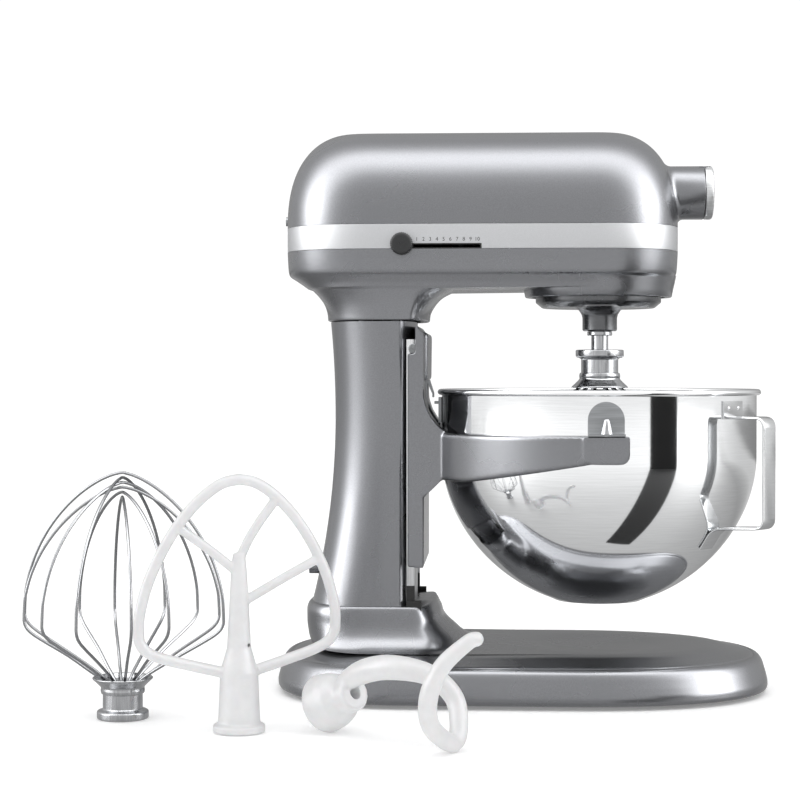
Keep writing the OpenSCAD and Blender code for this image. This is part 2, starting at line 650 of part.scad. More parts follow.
// Spring latch: a leaf on the slide whose nose presses on the hook behind the bowl
module bowl_latch() color([0.75, 0.75, 0.76]) {
  block([carriage_front, carriage_front + 1], [-9, 9], [200, 232]);
  along_x(carriage_front - 5, 0, latch_z) rod(rivet_r - run_gap, 5.5);
  along_y(0, -9, 0) linear_extrude(height = 18)
    polygon([[carriage_front + 1, -232], [carriage_front + 2.5, -232], [-66.4, -222],
      [-66.4, -219], [-67.4, -219], [-67.4, -221.5], [carriage_front + 1, -230]]);
}
bowl_a = 113;
bowl_mid = 175;
bowl_n = 1.9;
function bowl_z(r) = bowl_mid - bowl_a*pow(1 - pow(r/bowl_r, bowl_n), 1/bowl_n);
bowl_shares = [0.255, 0.323, 0.39, 0.458, 0.526, 0.594, 0.662, 0.722, 0.781, 0.832, 0.874, 0.913,
  0.942, 0.966, 0.985, 0.996];
bowl_outer = concat([[0, bowl_bottom]],
  [for (q = bowl_shares) [q*bowl_r, max(bowl_bottom, bowl_z(q*bowl_r))]],
  [[bowl_r, bowl_mid], [bowl_r, bowl_top - 3]]);
function inward(i) = let (a = bowl_outer[max(i - 1, 0)],
  b = bowl_outer[min(i + 1, len(bowl_outer) - 1)], t = unit(b - a))
  bowl_outer[i] + bowl_wall*[-t[1], t[0]];
module bowl() color([0.85, 0.85, 0.86]) translate([drive_x, 0, 0]) {
  rotate_extrude($fn = 128) polygon(concat(bowl_outer, [for (i = [len(bowl_outer) - 1:-1:1]) inward(i)],
    [[0, bowl_bottom + bowl_wall]]));
  translate([0, 0, bowl_top - rim_r]) rotate_extrude($fn = 128) translate([bowl_r + 0.9, 0])
    circle(r = rim_r);
}
rim_r = 2.25;
bracket_y = bowl_r + 0.05;
bracket_w = 12.8;
bracket_t = 1.5;
bracket_foot = arm_z[1] + 0.1;
arch_z = 204.5;
module bowl_brackets() color([0.65, 0.65, 0.66]) both_sides() difference() {
  union() {
    intersection() {
      along_y(drive_x, bracket_y, arch_z) rod(bracket_w, bracket_t);
      block([drive_x - 20, drive_x + 20], [100, 140], [bracket_foot, 230]);
    }
    block([drive_x - bracket_w, drive_x + bracket_w], [bracket_y, bracket_y + bracket_t],
      [bracket_foot, arch_z]);
    block([drive_x - bracket_w, drive_x + bracket_w], [bracket_y, pin_y + 5],
      [bracket_foot, bracket_foot + bracket_t]);
  }
  translate([drive_x, pin_y, arm_z[1] - 1]) rod(4.4, 5);
}
module bowl_hook() color([0.7, 0.7, 0.71]) {
  block([drive_x - bowl_r - 2.3, drive_x - bowl_r - 0.05], [-11, 11], [200, 219]);
  block([drive_x - bowl_r - 5.4, drive_x - bowl_r - 2.2], [-9, 9], [214, 216]);
}
handle_z = [126, 206.3];
// Where the lower arm of the handle meets the bowl
handle_root = [88, 107.6];
handle_out = 31;
handle_t = 2;
handle_r = bowl_r + 0.05;
// Side of the handle within its strap, drawn in by a distance; up is -Y
module strap_side(in, low) let (r = handle_r + handle_out - in, root = handle_root,
    slope = (handle_z[0] - root[1])/(handle_r + handle_out - root[0]))
  polygon([[root[0] - 2*in, in - handle_z[1]], [r, in - handle_z[1]],
    [r, -root[1] - slope*(r - root[0]) - (in > 0 ? low : 0)],
    [root[0] - 2*in, -root[1] + slope*2*in - (in > 0 ? low : 0)]]);
module bowl_handle() color([0.85, 0.85, 0.86])
  translate([drive_x, 0, 0]) rotate([0, 0, -handle_turn]) {
    difference() {
      along_y(0, -handle_w/2, 0) linear_extrude(height = handle_w) difference() {
        strap_side(0, handle_t);
        strap_side(handle_t, handle_t*1.04);
      }
      translate([0, 0, bowl_mid]) rod(handle_r, 60);
      translate([0, 0, -0.05]) rotate_extrude($fn = 128) polygon(concat(bowl_outer, [[0, bowl_top]]));
    }
    // Wider tab welded to the wall over the grip
    translate([handle_r, -handle_w/2 - 4, handle_z[1] - handle_t]) cube([1.5, handle_w + 8, 13]);
  }

// ---------- Lift lever ----------
lever_y = 62;
lever_rod_r = 4.5;
lever_rod_h = 84;
grip_base = 70;
module lift_shaft() color([0.6, 0.6, 0.62]) {
  along_y(lift_x, 22, lift_z) rod(lift_shaft_r, 45);
  translate([lift_x, 0, lift_z]) rotate([0, lever_half_turn, 0]) {
    block([-crank_r - crank_pin_r - 2, 6], [16, 24], [-6, 6]);
    along_y(-crank_r, 1, 0) rod(crank_pin_r, 16);
  }
}
module lift_bushing() color([0.7, 0.6, 0.4]) along_y(lift_x, 42, lift_z) difference() {
  union() {
    rod(bushing_r, 12);
    translate([0, 0, 10.5]) rod(lift_shaft_r + 5, 2);
  }
  translate([0, 0, -1]) rod(lift_shaft_r + run_gap, 20);
}
module lift_lever() color([0.75, 0.75, 0.76]) difference() {
  union() {
    along_y(lift_x, lever_y - 5, lift_z) rod(lift_shaft_r + 4, 10);
    translate([lift_x, lever_y, lift_z]) rod(lever_rod_r, lever_rod_h);
  }
  along_y(lift_x, 50, lift_z) rod(lift_shaft_r, 30);
}
module lever_grip() color([0.08, 0.08, 0.08])
  translate([lift_x, lever_y, lift_z + grip_base]) difference() {
    rotate_extrude() polygon([[0, 0], [7, 0], [9, 6], [9.5, 22], [8, 32], [5, 36], [0, 36]]);
    translate([0, 0, -1]) rod(lever_rod_r + run_gap, lever_rod_h - grip_base + 1);
  }

// ---------- Whisks ----------
// Flange, neck and skirt that the beater shaft goes into, standing on the flange
flange_r = 17.8;
flange_t = 5.4;
neck_r = 13.7;
socket_depth = 19.5;
skirt_end = 27;
module whisk_hub_shape() difference() {
  rotate_extrude() polygon([[0, 0], [flange_r, 0], [flange_r, flange_t], [neck_r, flange_t + 0.8],
    [neck_r, 20], [20.9, skirt_end], [19.5, skirt_end + 1.6], [13, 22.5], [0, 22.5]]);
  socket_cut();
}
// Bore for the beater shaft with a slot for the bayonet pin
module socket_cut() {
  translate([0, 0, -1]) rod(beater_r + run_gap + 0.03, socket_depth + 1);
  block([-2.4, 2.4], [-10.9, 10.9], [-1, 14]);
}
// Half of one wire: out of the hub, to its widest place, and up towards the tip
belly_z = 70;
function wire_half(w, h) = concat(
  [[10, 22.6 + wire_r], [15.5, 28.2], [21, 32], [0.55*w, 43.9], [0.86*w, 57.2], [0.93*w, 60.8],
    [0.975*w, 64.5], [0.995*w, 69]],
  [for (a = [8:12:80]) [w*pow(cos(a), 4/3), belly_z + (h - belly_z)*sin(a)]]);
function wire_path(w, h, turn) = let (p = wire_half(w, h), n = len(p))
  [for (i = [0:2*n]) let (q = i < n ? p[i] : i == n ? [0, h] : p[2*n - i],
    s = i < n ? 1 : i == n ? 0 : -1) [s*q[0]*cos(turn), s*q[0]*sin(turn), q[1]]];
// Turn of each loop, from the largest one down, and how much smaller each is than the one before
wire_turns = [-14, 76, 51, 16, 129, 106];
wire_step = [2.6, 3.35];
module whisk_loops() for (i = [0:len(wire_turns) - 1]) let (turn = wire_turns[i],
    path = wire_path(whisk_r - wire_r - wire_step[0]*i, whisk_h - wire_r - wire_step[1]*i, turn))
  bar(path, [for (p = path) wire_r], 6, [-sin(turn), cos(turn), 0]);
module on_shaft() translate([drive_x, -beater_off, whisk_top]) mirror([0, 0, 1]) children();
module on_worktop(place) translate([place[0], place[1], 0]) children();
module whisk_hub() color([0.7, 0.7, 0.71]) on_shaft() whisk_hub_shape();
module whisk_wires() color([0.75, 0.75, 0.76]) on_shaft() whisk_loops();
module loose_whisk_hub() color([0.7, 0.7, 0.71]) on_worktop(loose_whisk) whisk_hub_shape();
module loose_whisk_wires() color([0.75, 0.75, 0.76]) on_worktop(loose_whisk) whisk_loops();

// ---------- Flat beater ----------
flat_bar = 7.5;
flat_t = 6;
// Right half of the outer edge, from the bottom corner up to the tip
flat_side = [[4, 35], [66, 53], [72, 62], [73, 74], [69.5, 95], [60, 119], [42, 146.5], [22, 164.5],
  [0, 174]];
flat_centre = [0, 100];
function flat_scale(p) = [p[0]*flat_w/146, p[1]*flat_h/174];
// Point p drawn towards the middle of the beater by a distance
function drawn_in(p, by) = let (c = flat_scale(flat_centre)) c + (p - c)*(norm(p - c) - by)/norm(p - c);
module bar_2d(a, b, w) let (t = unit(b - a), n = [-t[1], t[0]]*w/2) polygon([a + n, a - n, b - n, b + n]);
module flat_outline(by) let (p = [for (q = flat_side) flat_scale(q)])
  polygon(concat([for (q = p) drawn_in(q, by)],
    [for (i = [len(p) - 2:-1:0]) drawn_in([-p[i][0], p[i][1]], by)]));
module flat_beater() color([0.88, 0.88, 0.87]) on_worktop(flat_place) rotate(flat_yaw)
  difference() {
    union() {
      rotate_extrude() polygon([[0, 0], [flange_r, 0], [flange_r, flange_t], [neck_r, 7],
        [12.6, 40], [8, 56], [4.5, 112], [0, 112]]);
      translate([0, flat_t/2, 0]) rotate([90, 0, 0]) linear_extrude(height = flat_t) {
        difference() {
          flat_outline(0);
          flat_outline(flat_bar + 1.2);
        }
        intersection() {
          flat_outline(1);
          union() {
            bar_2d([0, 105], flat_scale([-50, 138]), flat_bar);
            bar_2d([0, 100], flat_scale([39, 150]), flat_bar);
            bar_2d([0, 78], flat_scale([68, 111]), flat_bar);
            bar_2d([0, 34], flat_scale([62, 54]), flat_bar);
            bar_2d([0, 34], flat_scale([-62, 54]), flat_bar);
          }
        }
      }
    }
    socket_cut();
  }

// ---------- Dough hook ----------
// The hook lies with its hub tipped over on the rim, and the open spiral bar bends back over it
hook_yaw = -42;
hook_tilt = 20;
hook_rim = [19.5, 2];
hook_axis_z = hook_rim[0]*cos(hook_tilt) - hook_rim[1]*sin(hook_tilt);
// Bends of the bar from the hub to the tip, with the share of the bar radius at each
hook_bends = [[14, -13.5, 30, 1.1], [20.5, -20, 38, 1.25], [32, -30, 45, 1.35], [49, -41, 48.5, 1.35],
  [72.8, -50, 45, 1.15], [88.5, -54, 31, 1.05], [91.3, -64, 12.4, 1], [86.7, -73, 6.2, 1],
  [74.7, -92, 20.1, 1], [73.7, -99, 39.3, 1], [82.2, -100, 58.3, 0.92], [97.6, -95, 72.1, 0.82],
  [102.7, -93, 74, 0.78]];
// Smooth line through the bends, from bend i at t = 0 to bend i + 1 at t = 1
function hook_at(i, t) = let (n = len(hook_bends) - 1, a = hook_bends[max(i - 1, 0)],
    b = hook_bends[i], c = hook_bends[i + 1], d = hook_bends[min(i + 2, n)])
  b + t*(c - a)/2 + t*t*(2*a - 5*b + 4*c - d)/2 + t*t*t*(3*b - a - 3*c + d)/2;
hook_line = [for (i = [0:len(hook_bends) - 2], t = [0:0.34:0.99]) hook_at(i, t)];
hook_axis = [cos(hook_tilt)*cos(hook_yaw), cos(hook_tilt)*sin(hook_yaw), sin(hook_tilt)];
module dough_hook() color([0.88, 0.88, 0.87]) on_worktop(hook_place) difference() {
  union() {
    hook_frame() rotate_extrude() polygon([[0, 0], [17.4, 0], hook_rim, [19.5, 5], [18.6, 11],
      [16.6, 17], [13.2, 21.5], [11.8, 24], [11.8, 31], [10.4, 33], [0, 33]]);
    bar([for (p = hook_line) [p[0], p[1], p[2]]], [for (p = hook_line) hook_bar_r*p[3]], 10, hook_axis);
  }
  hook_frame() socket_cut();
  // Cored eye in the end of the hub
  hook_frame() translate([0, 0, 24]) rod(3.9, 20);
}
module hook_frame() translate([0, 0, hook_axis_z]) rotate([0, 90 - hook_tilt, hook_yaw]) children();

base();
base_feet();
column();
column_bolts();
slide_ways();
way_stops();
gear_housing();
head_cover();
trim_band();
head_screws();
slot_liner();
hub_barrel();
hub_cap();
attachment_knob();
motor_cradle();
stator_core();
field_coils();
motor_end_frames();
motor_bearings();
armature_shaft();
armature_core();
commutator();
cooling_fan();
brush_holders();
transmission_bracket();
worm_wheel();
centre_gear();
hub_socket();
drive_shaft();
ring_gear();
planetary_carrier();
beater_shaft();
beater_pinion();
bayonet_pin();
speed_knob();
speed_slider();
control_board();
cord_gland();
carriage();
locating_pins();
bowl_latch();
bowl();
bowl_brackets();
bowl_hook();
bowl_handle();
lift_shaft();
lift_bushing();
lift_lever();
lever_grip();
whisk_hub();
whisk_wires();
loose_whisk_hub();
loose_whisk_wires();
flat_beater();
dough_hook();
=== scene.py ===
"""Looks of a bowl-lift stand mixer with its whisks, flat beater and dough hook, on its CAD frame."""

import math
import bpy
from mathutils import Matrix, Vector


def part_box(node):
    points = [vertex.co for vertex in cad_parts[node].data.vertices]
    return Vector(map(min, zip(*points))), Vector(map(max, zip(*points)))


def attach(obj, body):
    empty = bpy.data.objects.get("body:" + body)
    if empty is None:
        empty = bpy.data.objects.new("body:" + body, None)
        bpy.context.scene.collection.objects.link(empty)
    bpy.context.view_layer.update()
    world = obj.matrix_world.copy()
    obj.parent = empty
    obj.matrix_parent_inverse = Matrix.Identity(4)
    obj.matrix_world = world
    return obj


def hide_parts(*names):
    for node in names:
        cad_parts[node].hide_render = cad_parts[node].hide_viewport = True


bl_info = {
    "name": "Bowl-lift stand mixer",
    "version": (1, 0, 0),
    "blender": (4, 5, 0),
    "location": "View3D > Sidebar > Mixer",
    "description": "Builds the visible pieces of a bowl-lift stand mixer and its studio",
    "category": "Object",
}

import bmesh
import bpy
import numpy as np
from bpy.props import FloatProperty, FloatVectorProperty, IntProperty, PointerProperty
from mathutils import Matrix, Vector
from mathutils.bvhtree import BVHTree

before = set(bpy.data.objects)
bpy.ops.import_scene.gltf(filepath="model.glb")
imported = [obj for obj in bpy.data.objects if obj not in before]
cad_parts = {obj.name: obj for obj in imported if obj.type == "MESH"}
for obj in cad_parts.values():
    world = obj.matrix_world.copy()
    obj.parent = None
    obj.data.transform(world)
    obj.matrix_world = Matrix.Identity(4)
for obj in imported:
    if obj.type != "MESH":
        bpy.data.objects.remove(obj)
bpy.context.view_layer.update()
MM = 0.001


def hex_colour(code):
    """Linear colour of an sRGB hex value."""
    parts = [int(code[i : i + 2], 16) / 255 for i in (1, 3, 5)]
    linear = [c / 12.92 if c <= 0.04045 else ((c + 0.055) / 1.055) ** 2.4 for c in parts]
    return (*linear, 1.0)


# ---------------------------------------------------------------- places, in millimetres
BOWL_AXIS_X = 57.4
COLUMN_FRONT = -79.0
COLUMN_FOOT_Z = 66.0
COLUMN_TOP_Z = 276.0
BAND_Z = (327.6, 346.0)
BAND_T = 1.2
SEAM_Z = 336.8
HEAD_WALL = 4.5
UNDERSIDE_Z = 300.5
HUB_Z = 372.5
HUB_R = 20.0
HUB_BORE_R = 15.0
HUB_X = (92.0, 136.0)
THUMBSCREW_X = 120.0
CAP_HINGE = (139.0, 390.6)
CARRIER_R = 47.0
BEATER_OFF = 24.0
BEATER_R = 6.25
KNOB_X = -87.8
SLOT_Z = (327.6, 331.6)
SLOT_X = (-91.8, -29.8)
RIM_R = 2.25
BOWL_CURVE = (175.0, 113.0, 1.9)
PLATE_X = (-78.7, -72.0)
PLATE_Y = 56.0
ARM_R = (122.2, 129.2)
ARM_Z = (159.0, 193.4)
ARM_TAPER = 0.169
PIN_Y = 125.5
LIFT_AXIS = (-105.0, 150.0)
LEVER_Y = 62.0
WHISK_FLANGE_Z = 254.5


# ---------------------------------------------------------------- sizes and colours
def length(name, description, default):
    return FloatProperty(name=name, description=description, default=default, unit="LENGTH")


def tint(name, description, code):
    start = hex_colour(code)
    return FloatVectorProperty(name=name, description=description, size=4, subtype="COLOR", default=start)


class MixerCastingSizes(bpy.types.PropertyGroup):
    base_length: length("Base length", "Base, front to back", 0.3675)
    base_width: length("Base width", "Base, side to side", 0.223)
    base_height: length("Base height", "Flat top of the base", 0.034)
    dish_depth: length("Dish depth", "Hollow in the base under the bowl", 0.003)
    head_rear: length("Head rear", "Rear end of the head", -0.177)
    head_front: length("Head front", "Front end of the head", 0.1166)
    head_half: length("Head half width", "Half width of the head", 0.0615)
    head_top: length("Head top", "Highest point of the head", 0.418)


class MixerBowlSizes(bpy.types.PropertyGroup):
    radius: length("Bowl radius", "Outside of the bowl wall", 0.1178)
    top: length("Bowl top", "Top of the rolled rim", 0.2253)
    bottom: length("Bowl bottom", "Flat bottom of the bowl", 0.0663)
    wall: length("Bowl wall", "Sheet thickness", 0.001)
    handle_turn: FloatProperty(
        name="Handle turn",
        description="Turn of the handle from straight ahead",
        default=math.radians(38.5),
        subtype="ANGLE",
    )
    handle_width: length("Handle width", "Width of the handle strap", 0.016)


class MixerToolSizes(bpy.types.PropertyGroup):
    whisk_height: length("Whisk height", "Flange to the top wire", 0.17)
    whisk_radius: length("Whisk radius", "Widest wire", 0.076)
    wire_radius: length("Wire radius", "Half the wire thickness", 0.00105)
    whisk_loops: IntProperty(name="Wires", description="Wire loops in a whisk", default=6)
    beater_height: length("Beater height", "Height of the flat beater", 0.171)
    beater_width: length("Beater width", "Width of the flat beater", 0.146)
    hook_bar: length("Hook bar", "Radius of the dough hook bar", 0.006)


class MixerColours(bpy.types.PropertyGroup):
    paint: tint("Paint", "Metallic enamel on the castings", "#7a7b7e")
    band: tint("Band", "Satin aluminium band round the head", "#bcbdbf")
    coating: tint("Coating", "White nylon on the flat beater and dough hook", "#dadadb")
    floor: tint("Floor", "Worktop under the mixer", "#f6f6f6")


# ---------------------------------------------------------------- outlines and skins
def oval(rear, front, half, rear_end, front_end, power, z, count=22):
    """Closed outline with straight flanks and rounded ends, counter-clockwise from above."""
    turns = [np.linspace(0, 90, count + 1), np.linspace(90, 180, count + 1)]
    turns += [np.linspace(180, 270, count + 1)[1:], np.linspace(270, 360, count + 1)[:-1]]
    rows = []
    for quarter, angles in enumerate(turns):
        a = np.radians(angles)
        c = np.abs(np.cos(a)) ** (2 / power)
        s = np.abs(np.sin(a)) ** (2 / power)
        x = front - front_end + front_end * c if quarter in (0, 3) else rear + rear_end - rear_end * c
        y = half * s if quarter < 2 else -half * s
        rows.append(np.stack([x, y, np.full_like(x, z)], 1))
    return np.concatenate(rows)


def eased(rows, steps):
    """Rows of numbers with smooth rows between each pair, and no overshoot."""
    rows = np.asarray(rows, float)
    gap = np.linalg.norm(np.diff(rows, axis=0), axis=1)[:, None]
    slope = np.diff(rows, axis=0) / gap
    lean = np.zeros_like(rows)
    lean[0], lean[-1] = slope[0], slope[-1]
    both = slope[:-1] * slope[1:]
    mean = 2 * both / np.where(both > 0, slope[:-1] + slope[1:], 1)
    lean[1:-1] = np.where(both > 0, mean, 0)
    out = []
    for i in range(len(rows) - 1):
        for t in np.arange(steps) / steps:
            h = (2 * t**3 - 3 * t**2 + 1, t**3 - 2 * t**2 + t, -2 * t**3 + 3 * t**2, t**3 - t**2)
            before = h[0] * rows[i] + h[1] * gap[i] * lean[i]
            out.append(before + h[2] * rows[i + 1] + h[3] * gap[i] * lean[i + 1])
    return [*out, rows[-1]]


def bent(points, steps):
    """A smooth line through points that may swing past them."""
    points = np.asarray(points, float)
    ends = np.concatenate([points[:1], points, points[-1:]])
    line = []
    for a, b, c, d in zip(ends, ends[1:], ends[2:], ends[3:]):
        for t in np.arange(steps) / steps:
            curve = t * t * (2 * a - 5 * b + 4 * c - d) + t**3 * (3 * b - a - 3 * c + d)
            line.append(b + (t * (c - a) + curve) / 2)
    return [*line, points[-1]]


def rounded(points, radius, steps=5):
    """A line of points with its inner corners rounded by up to a radius."""
    points = [np.asarray(p, float) for p in points]
    out = [points[0]]
    for before, here, after in zip(points, points[1:], points[2:]):
        size = np.linalg.norm
        into, away = here - before, after - here
        cut = min(radius, size(into) * 0.45, size(away) * 0.45)
        start = here - into / size(into) * cut
        end = here + away / size(away) * cut
        for t in np.linspace(0, 1, steps + 1):
            out.append((1 - t) ** 2 * start + 2 * t * (1 - t) * here + t**2 * end)
    return [*out, points[-1]]


def skin(rings, closed=False):
    """Vertices and faces over a stack of equal rings; an open stack is capped."""
    count, rows = len(rings[0]), len(rings)
    faces = []
    for j in range(rows if closed else rows - 1):
        low, high = j * count, (j + 1) % rows * count
        for i in range(count):
            after = (i + 1) % count
            faces.append((low + i, low + after, high + after, high + i))
    if not closed:
        faces.append(tuple(range(count - 1, -1, -1)))
        faces.append(tuple((rows - 1) * count + i for i in range(count)))
    return np.concatenate(rings), faces


def turned(profile, sides=72, closed=False, flutes=0, flute_depth=0.0):
    """Lathe-turned shape on the Z axis from (radius, height) points."""
    a = np.arange(sides) * 2 * math.pi / sides
    rings = []
    for radius, height in profile:
        r = radius - flute_depth * (0.5 - 0.5 * np.cos(flutes * a)) if flutes else np.full(sides, radius)
        rings.append(np.stack([r * np.cos(a), r * np.sin(a), np.full(sides, height)], 1))
    return skin(rings, closed)


def swept(path, section, across=None):
    """A section of (u, v) points carried along a path; across is the direction of u."""
    path = np.asarray(path, float)
    along = np.gradient(path, axis=0)
    along /= np.linalg.norm(along, axis=1)[:, None]
    sections = section if isinstance(section, list) else [section] * len(path)
    side = np.cross(along[0], (0.0, 0.0, 1.0) if abs(along[0][2]) < 0.9 else (1.0, 0.0, 0.0))
    rings = []
    for p, t, shape in zip(path, along, sections):
        side = np.asarray(across, float) if across is not None else side
        side = side - t * side.dot(t)
        side /= np.linalg.norm(side)
        rings.append(p + shape[:, :1] * side + shape[:, 1:] * np.cross(side, t))
    return skin(rings)


def solid_rod(radius, low, high, sides=72):
    """Plain cylinder on the Z axis."""
    return turned([(0, low), (radius, low), (radius, high), (0, high)], sides)


def round_section(radius, sides=12, flat=1.0):
    a = np.arange(sides) * 2 * math.pi / sides
    return np.stack([radius * np.cos(a), radius * flat * np.sin(a)], 1)


def strap_section(width, thickness, edge):
    """Rectangle with rounded edges."""
    out = []
    for corner, (x, y) in enumerate([(1, 1), (-1, 1), (-1, -1), (1, -1)]):
        for a in np.radians(corner * 90 + np.linspace(0, 90, 4)):
            u = x * (width / 2 - edge) + edge * math.cos(a)
            out.append((u, y * (thickness / 2 - edge) + edge * math.sin(a)))
    return np.array(out)


def block(x, y, z):
    """Box between pairs of places."""
    corners = [(a, b, c) for c in z for a, b in [(x[0], y[0]), (x[1], y[0]), (x[1], y[1]), (x[0], y[1])]]
    return skin([np.array(corners[:4], float), np.array(corners[4:], float)])


def slab(outline, y):
    """An outline of (x, z) points made solid between two places along Y."""
    return skin([np.array([(px, place, pz) for px, pz in outline], float) for place in y])


def placed(shape, matrix):
    verts, faces = shape
    turned_verts = [matrix @ Vector(v) for v in verts]
    return np.array([tuple(v) for v in turned_verts]), faces


def toward_x(shape, x, y, z):
    """Turn a lathe shape's axis to +X and put its origin at a place."""
    return placed(shape, Matrix.Translation((x, y, z)) @ Matrix.Rotation(math.pi / 2, 4, "Y"))


def toward_y(shape, x, y, z):
    """Turn a lathe shape's axis to +Y and put its origin at a place."""
    return placed(shape, Matrix.Translation((x, y, z)) @ Matrix.Rotation(-math.pi / 2, 4, "X"))


def at(shape, x=0.0, y=0.0, z=0.0):
    return placed(shape, Matrix.Translation((x, y, z)))


def mirrored(shape):
    """The same shape on the other side of the mixer."""
    verts, faces = shape
    return verts * np.array([1, -1, 1]), [tuple(reversed(f)) for f in faces]


def both_sides(*shapes):
    """The shapes with their mirror images."""
    return together(*[half for shape in shapes for half in (shape, mirrored(shape))])


def stacked(rows, closed=False):
    """Skin over a stack of ovals."""
    return skin([oval(*row) for row in rows], closed)


def together(*shapes):
    verts, faces, start = [], [], 0
    for v, f in shapes:
        verts.append(v)
        faces += [tuple(i + start for i in face) for face in f]
        start += len(v)
    return np.concatenate(verts), faces


# ---------------------------------------------------------------- pieces
def new_piece(name, shape, crease=32):
    """Mesh object from millimetre vertices, with clean outward normals."""
    verts, faces = shape
    mesh = bpy.data.meshes.new(name)
    mesh.from_pydata([tuple(v) for v in np.asarray(verts) * MM], [], faces)
    work = bmesh.new()
    work.from_mesh(mesh)
    bmesh.ops.remove_doubles(work, verts=work.verts, dist=2e-6)
    bmesh.ops.dissolve_degenerate(work, edges=work.edges, dist=1e-6)
    bmesh.ops.recalc_face_normals(work, faces=work.faces)
    work.to_mesh(mesh)
    work.free()
    piece = bpy.data.objects.new(name, mesh)
    bpy.context.scene.collection.objects.link(piece)
    shade(piece, crease)
    return piece


def shade(piece, crease=32):
    """Smooth shading, with edges sharper than an angle left crisp."""
    mesh = piece.data
    mesh.polygons.foreach_set("use_smooth", [True] * len(mesh.polygons))
    mesh.set_sharp_from_angle(angle=math.radians(crease))


def settle(piece):
    """Make the piece's modifiers part of its mesh."""
    ready = piece.evaluated_get(bpy.context.evaluated_depsgraph_get())
    mesh = bpy.data.meshes.new_from_object(ready)
    piece.modifiers.clear()
    piece.data = mesh
    mesh.name = piece.name
    shade(piece)
    return piece


def carve(piece, shape, operation="DIFFERENCE"):
    """Cut a shape out of a piece, or weld it on."""
    tool = new_piece("cutter", shape)
    change = piece.modifiers.new("carve", "BOOLEAN")
    change.object = tool
    change.operation = operation
    change.solver = "EXACT"
    settle(piece)
    bpy.data.objects.remove(tool)
    return piece


def ease_edges(piece, width):
    """Round the sharp edges of a piece by a width in millimetres."""
    change = piece.modifiers.new("edges", "BEVEL")
    change.width = width * MM
    change.segments = 2
    change.limit_method = "ANGLE"
    change.angle_limit = math.radians(35)
    change.use_clamp_overlap = True
    return settle(piece)


def as_casting(piece, grain, passes):
    """Blend a piece's overlapping parts into one casting with soft corners."""
    change = piece.modifiers.new("blend", "REMESH")
    change.mode = "VOXEL"
    change.voxel_size = grain * MM
    soft = piece.modifiers.new("soft", "SMOOTH")
    soft.factor = 0.5
    soft.iterations = passes
    return settle(piece)


FINISHES = {}
# the slot that pieces of each finish go by
SLOTS = {
    "paint": "body_paint",
    "planetary": "planetary_paint",
    "band": "satin_trim",
    "coating": "white_coating",
    "zinc": "brushed_steel",
    **dict.fromkeys(("mirror", "strap", "wire", "turned_steel", "milled_steel", "cap"), "polished_steel"),
    **dict.fromkeys(("black", "slot"), "black_plastic"),
}


def finished(piece, finish, body, *nodes):
    """Give a piece its material and body, and hide the CAD nodes it stands for."""
    piece.data.materials.clear()
    piece.data.materials.append(FINISHES[finish])
    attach(piece, body)
    if nodes:
        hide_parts(*nodes)


def add_piece(name, shape, finish, body, *nodes):
    finished(new_piece(name, shape), finish, body, *nodes)


# ---------------------------------------------------------------- materials
def add_node(tree, kind, settings=None, links=None):
    """Add a node, set its sockets or properties, and link outputs into its sockets."""
    node = tree.nodes.new(kind)
    for key, value in (settings or {}).items():
        if isinstance(key, int) or key in node.inputs:
            node.inputs[key].default_value = value
        else:
            setattr(node, key, value)
    for key, source in (links or {}).items():
        tree.links.new(source, node.inputs[key])
    return node


def new_material(name, colour, rough, metallic=0.0, extra=None):
    """A material whose surface is one Principled shader, with the piece's own coordinates."""
    known = bpy.data.materials.get(name)
    if known:
        bpy.data.materials.remove(known)
    material = bpy.data.materials.new(name)
    material.use_nodes = True
    tree = material.node_tree
    shader = tree.nodes["Principled BSDF"]
    settings = {"Metallic": metallic, "Roughness": rough, "Base Color": colour, **(extra or {})}
    for key, value in settings.items():
        shader.inputs[key].default_value = value
    place = add_node(tree, "ShaderNodeTexCoord").outputs["Object"]
    return material, tree, shader, place


def noise(tree, place, scale, detail=2.0):
    """Cloudy pattern over a piece; the greater the scale, the finer it is."""
    settings = {"Scale": scale, "Detail": detail}
    return add_node(tree, "ShaderNodeTexNoise", settings, {"Vector": place}).outputs["Fac"]


def squeezed(tree, place, scale):
    """The piece's own coordinates times a scale along each axis."""
    return add_node(tree, "ShaderNodeMapping", {"Scale": scale}, {"Vector": place}).outputs[0]


def vary_colour(tree, shader, source, low, high, start=0.35, end=0.65):
    """Drive the base colour between two colours by a pattern."""
    ramp = add_node(tree, "ShaderNodeValToRGB", None, {"Fac": source})
    ramp.color_ramp.elements[0].position = start
    ramp.color_ramp.elements[1].position = end
    ramp.color_ramp.elements[0].color = low
    ramp.color_ramp.elements[1].color = high
    tree.links.new(ramp.outputs["Color"], shader.inputs["Base Color"])


def vary_roughness(tree, shader, source, low, high):
    span = add_node(tree, "ShaderNodeMapRange", {"To Min": low, "To Max": high}, {"Value": source})
    tree.links.new(span.outputs["Result"], shader.inputs["Roughness"])


def emboss(tree, shader, source, depth):
    """Raise the surface by a pattern, by a depth in millimetres."""
    bump = add_node(tree, "ShaderNodeBump", {"Distance": depth * MM}, {"Height": source})
    tree.links.new(bump.outputs["Normal"], shader.inputs["Normal"])


def shaded(colour, factor):
    return (*[min(1.0, c * factor) for c in colour[:3]], 1.0)


def textured(made, pattern, colour, shades, rough, depth, span=(0.35, 0.65)):
    """Let one pattern vary a material's shade and roughness, and raise it by a depth in millimetres."""
    material, tree, shader, _ = made
    low, high = [shaded(colour, factor) for factor in shades]
    vary_colour(tree, shader, pattern, low, high, *span)
    vary_roughness(tree, shader, pattern, *rough)
    emboss(tree, shader, pattern, depth)
    return material


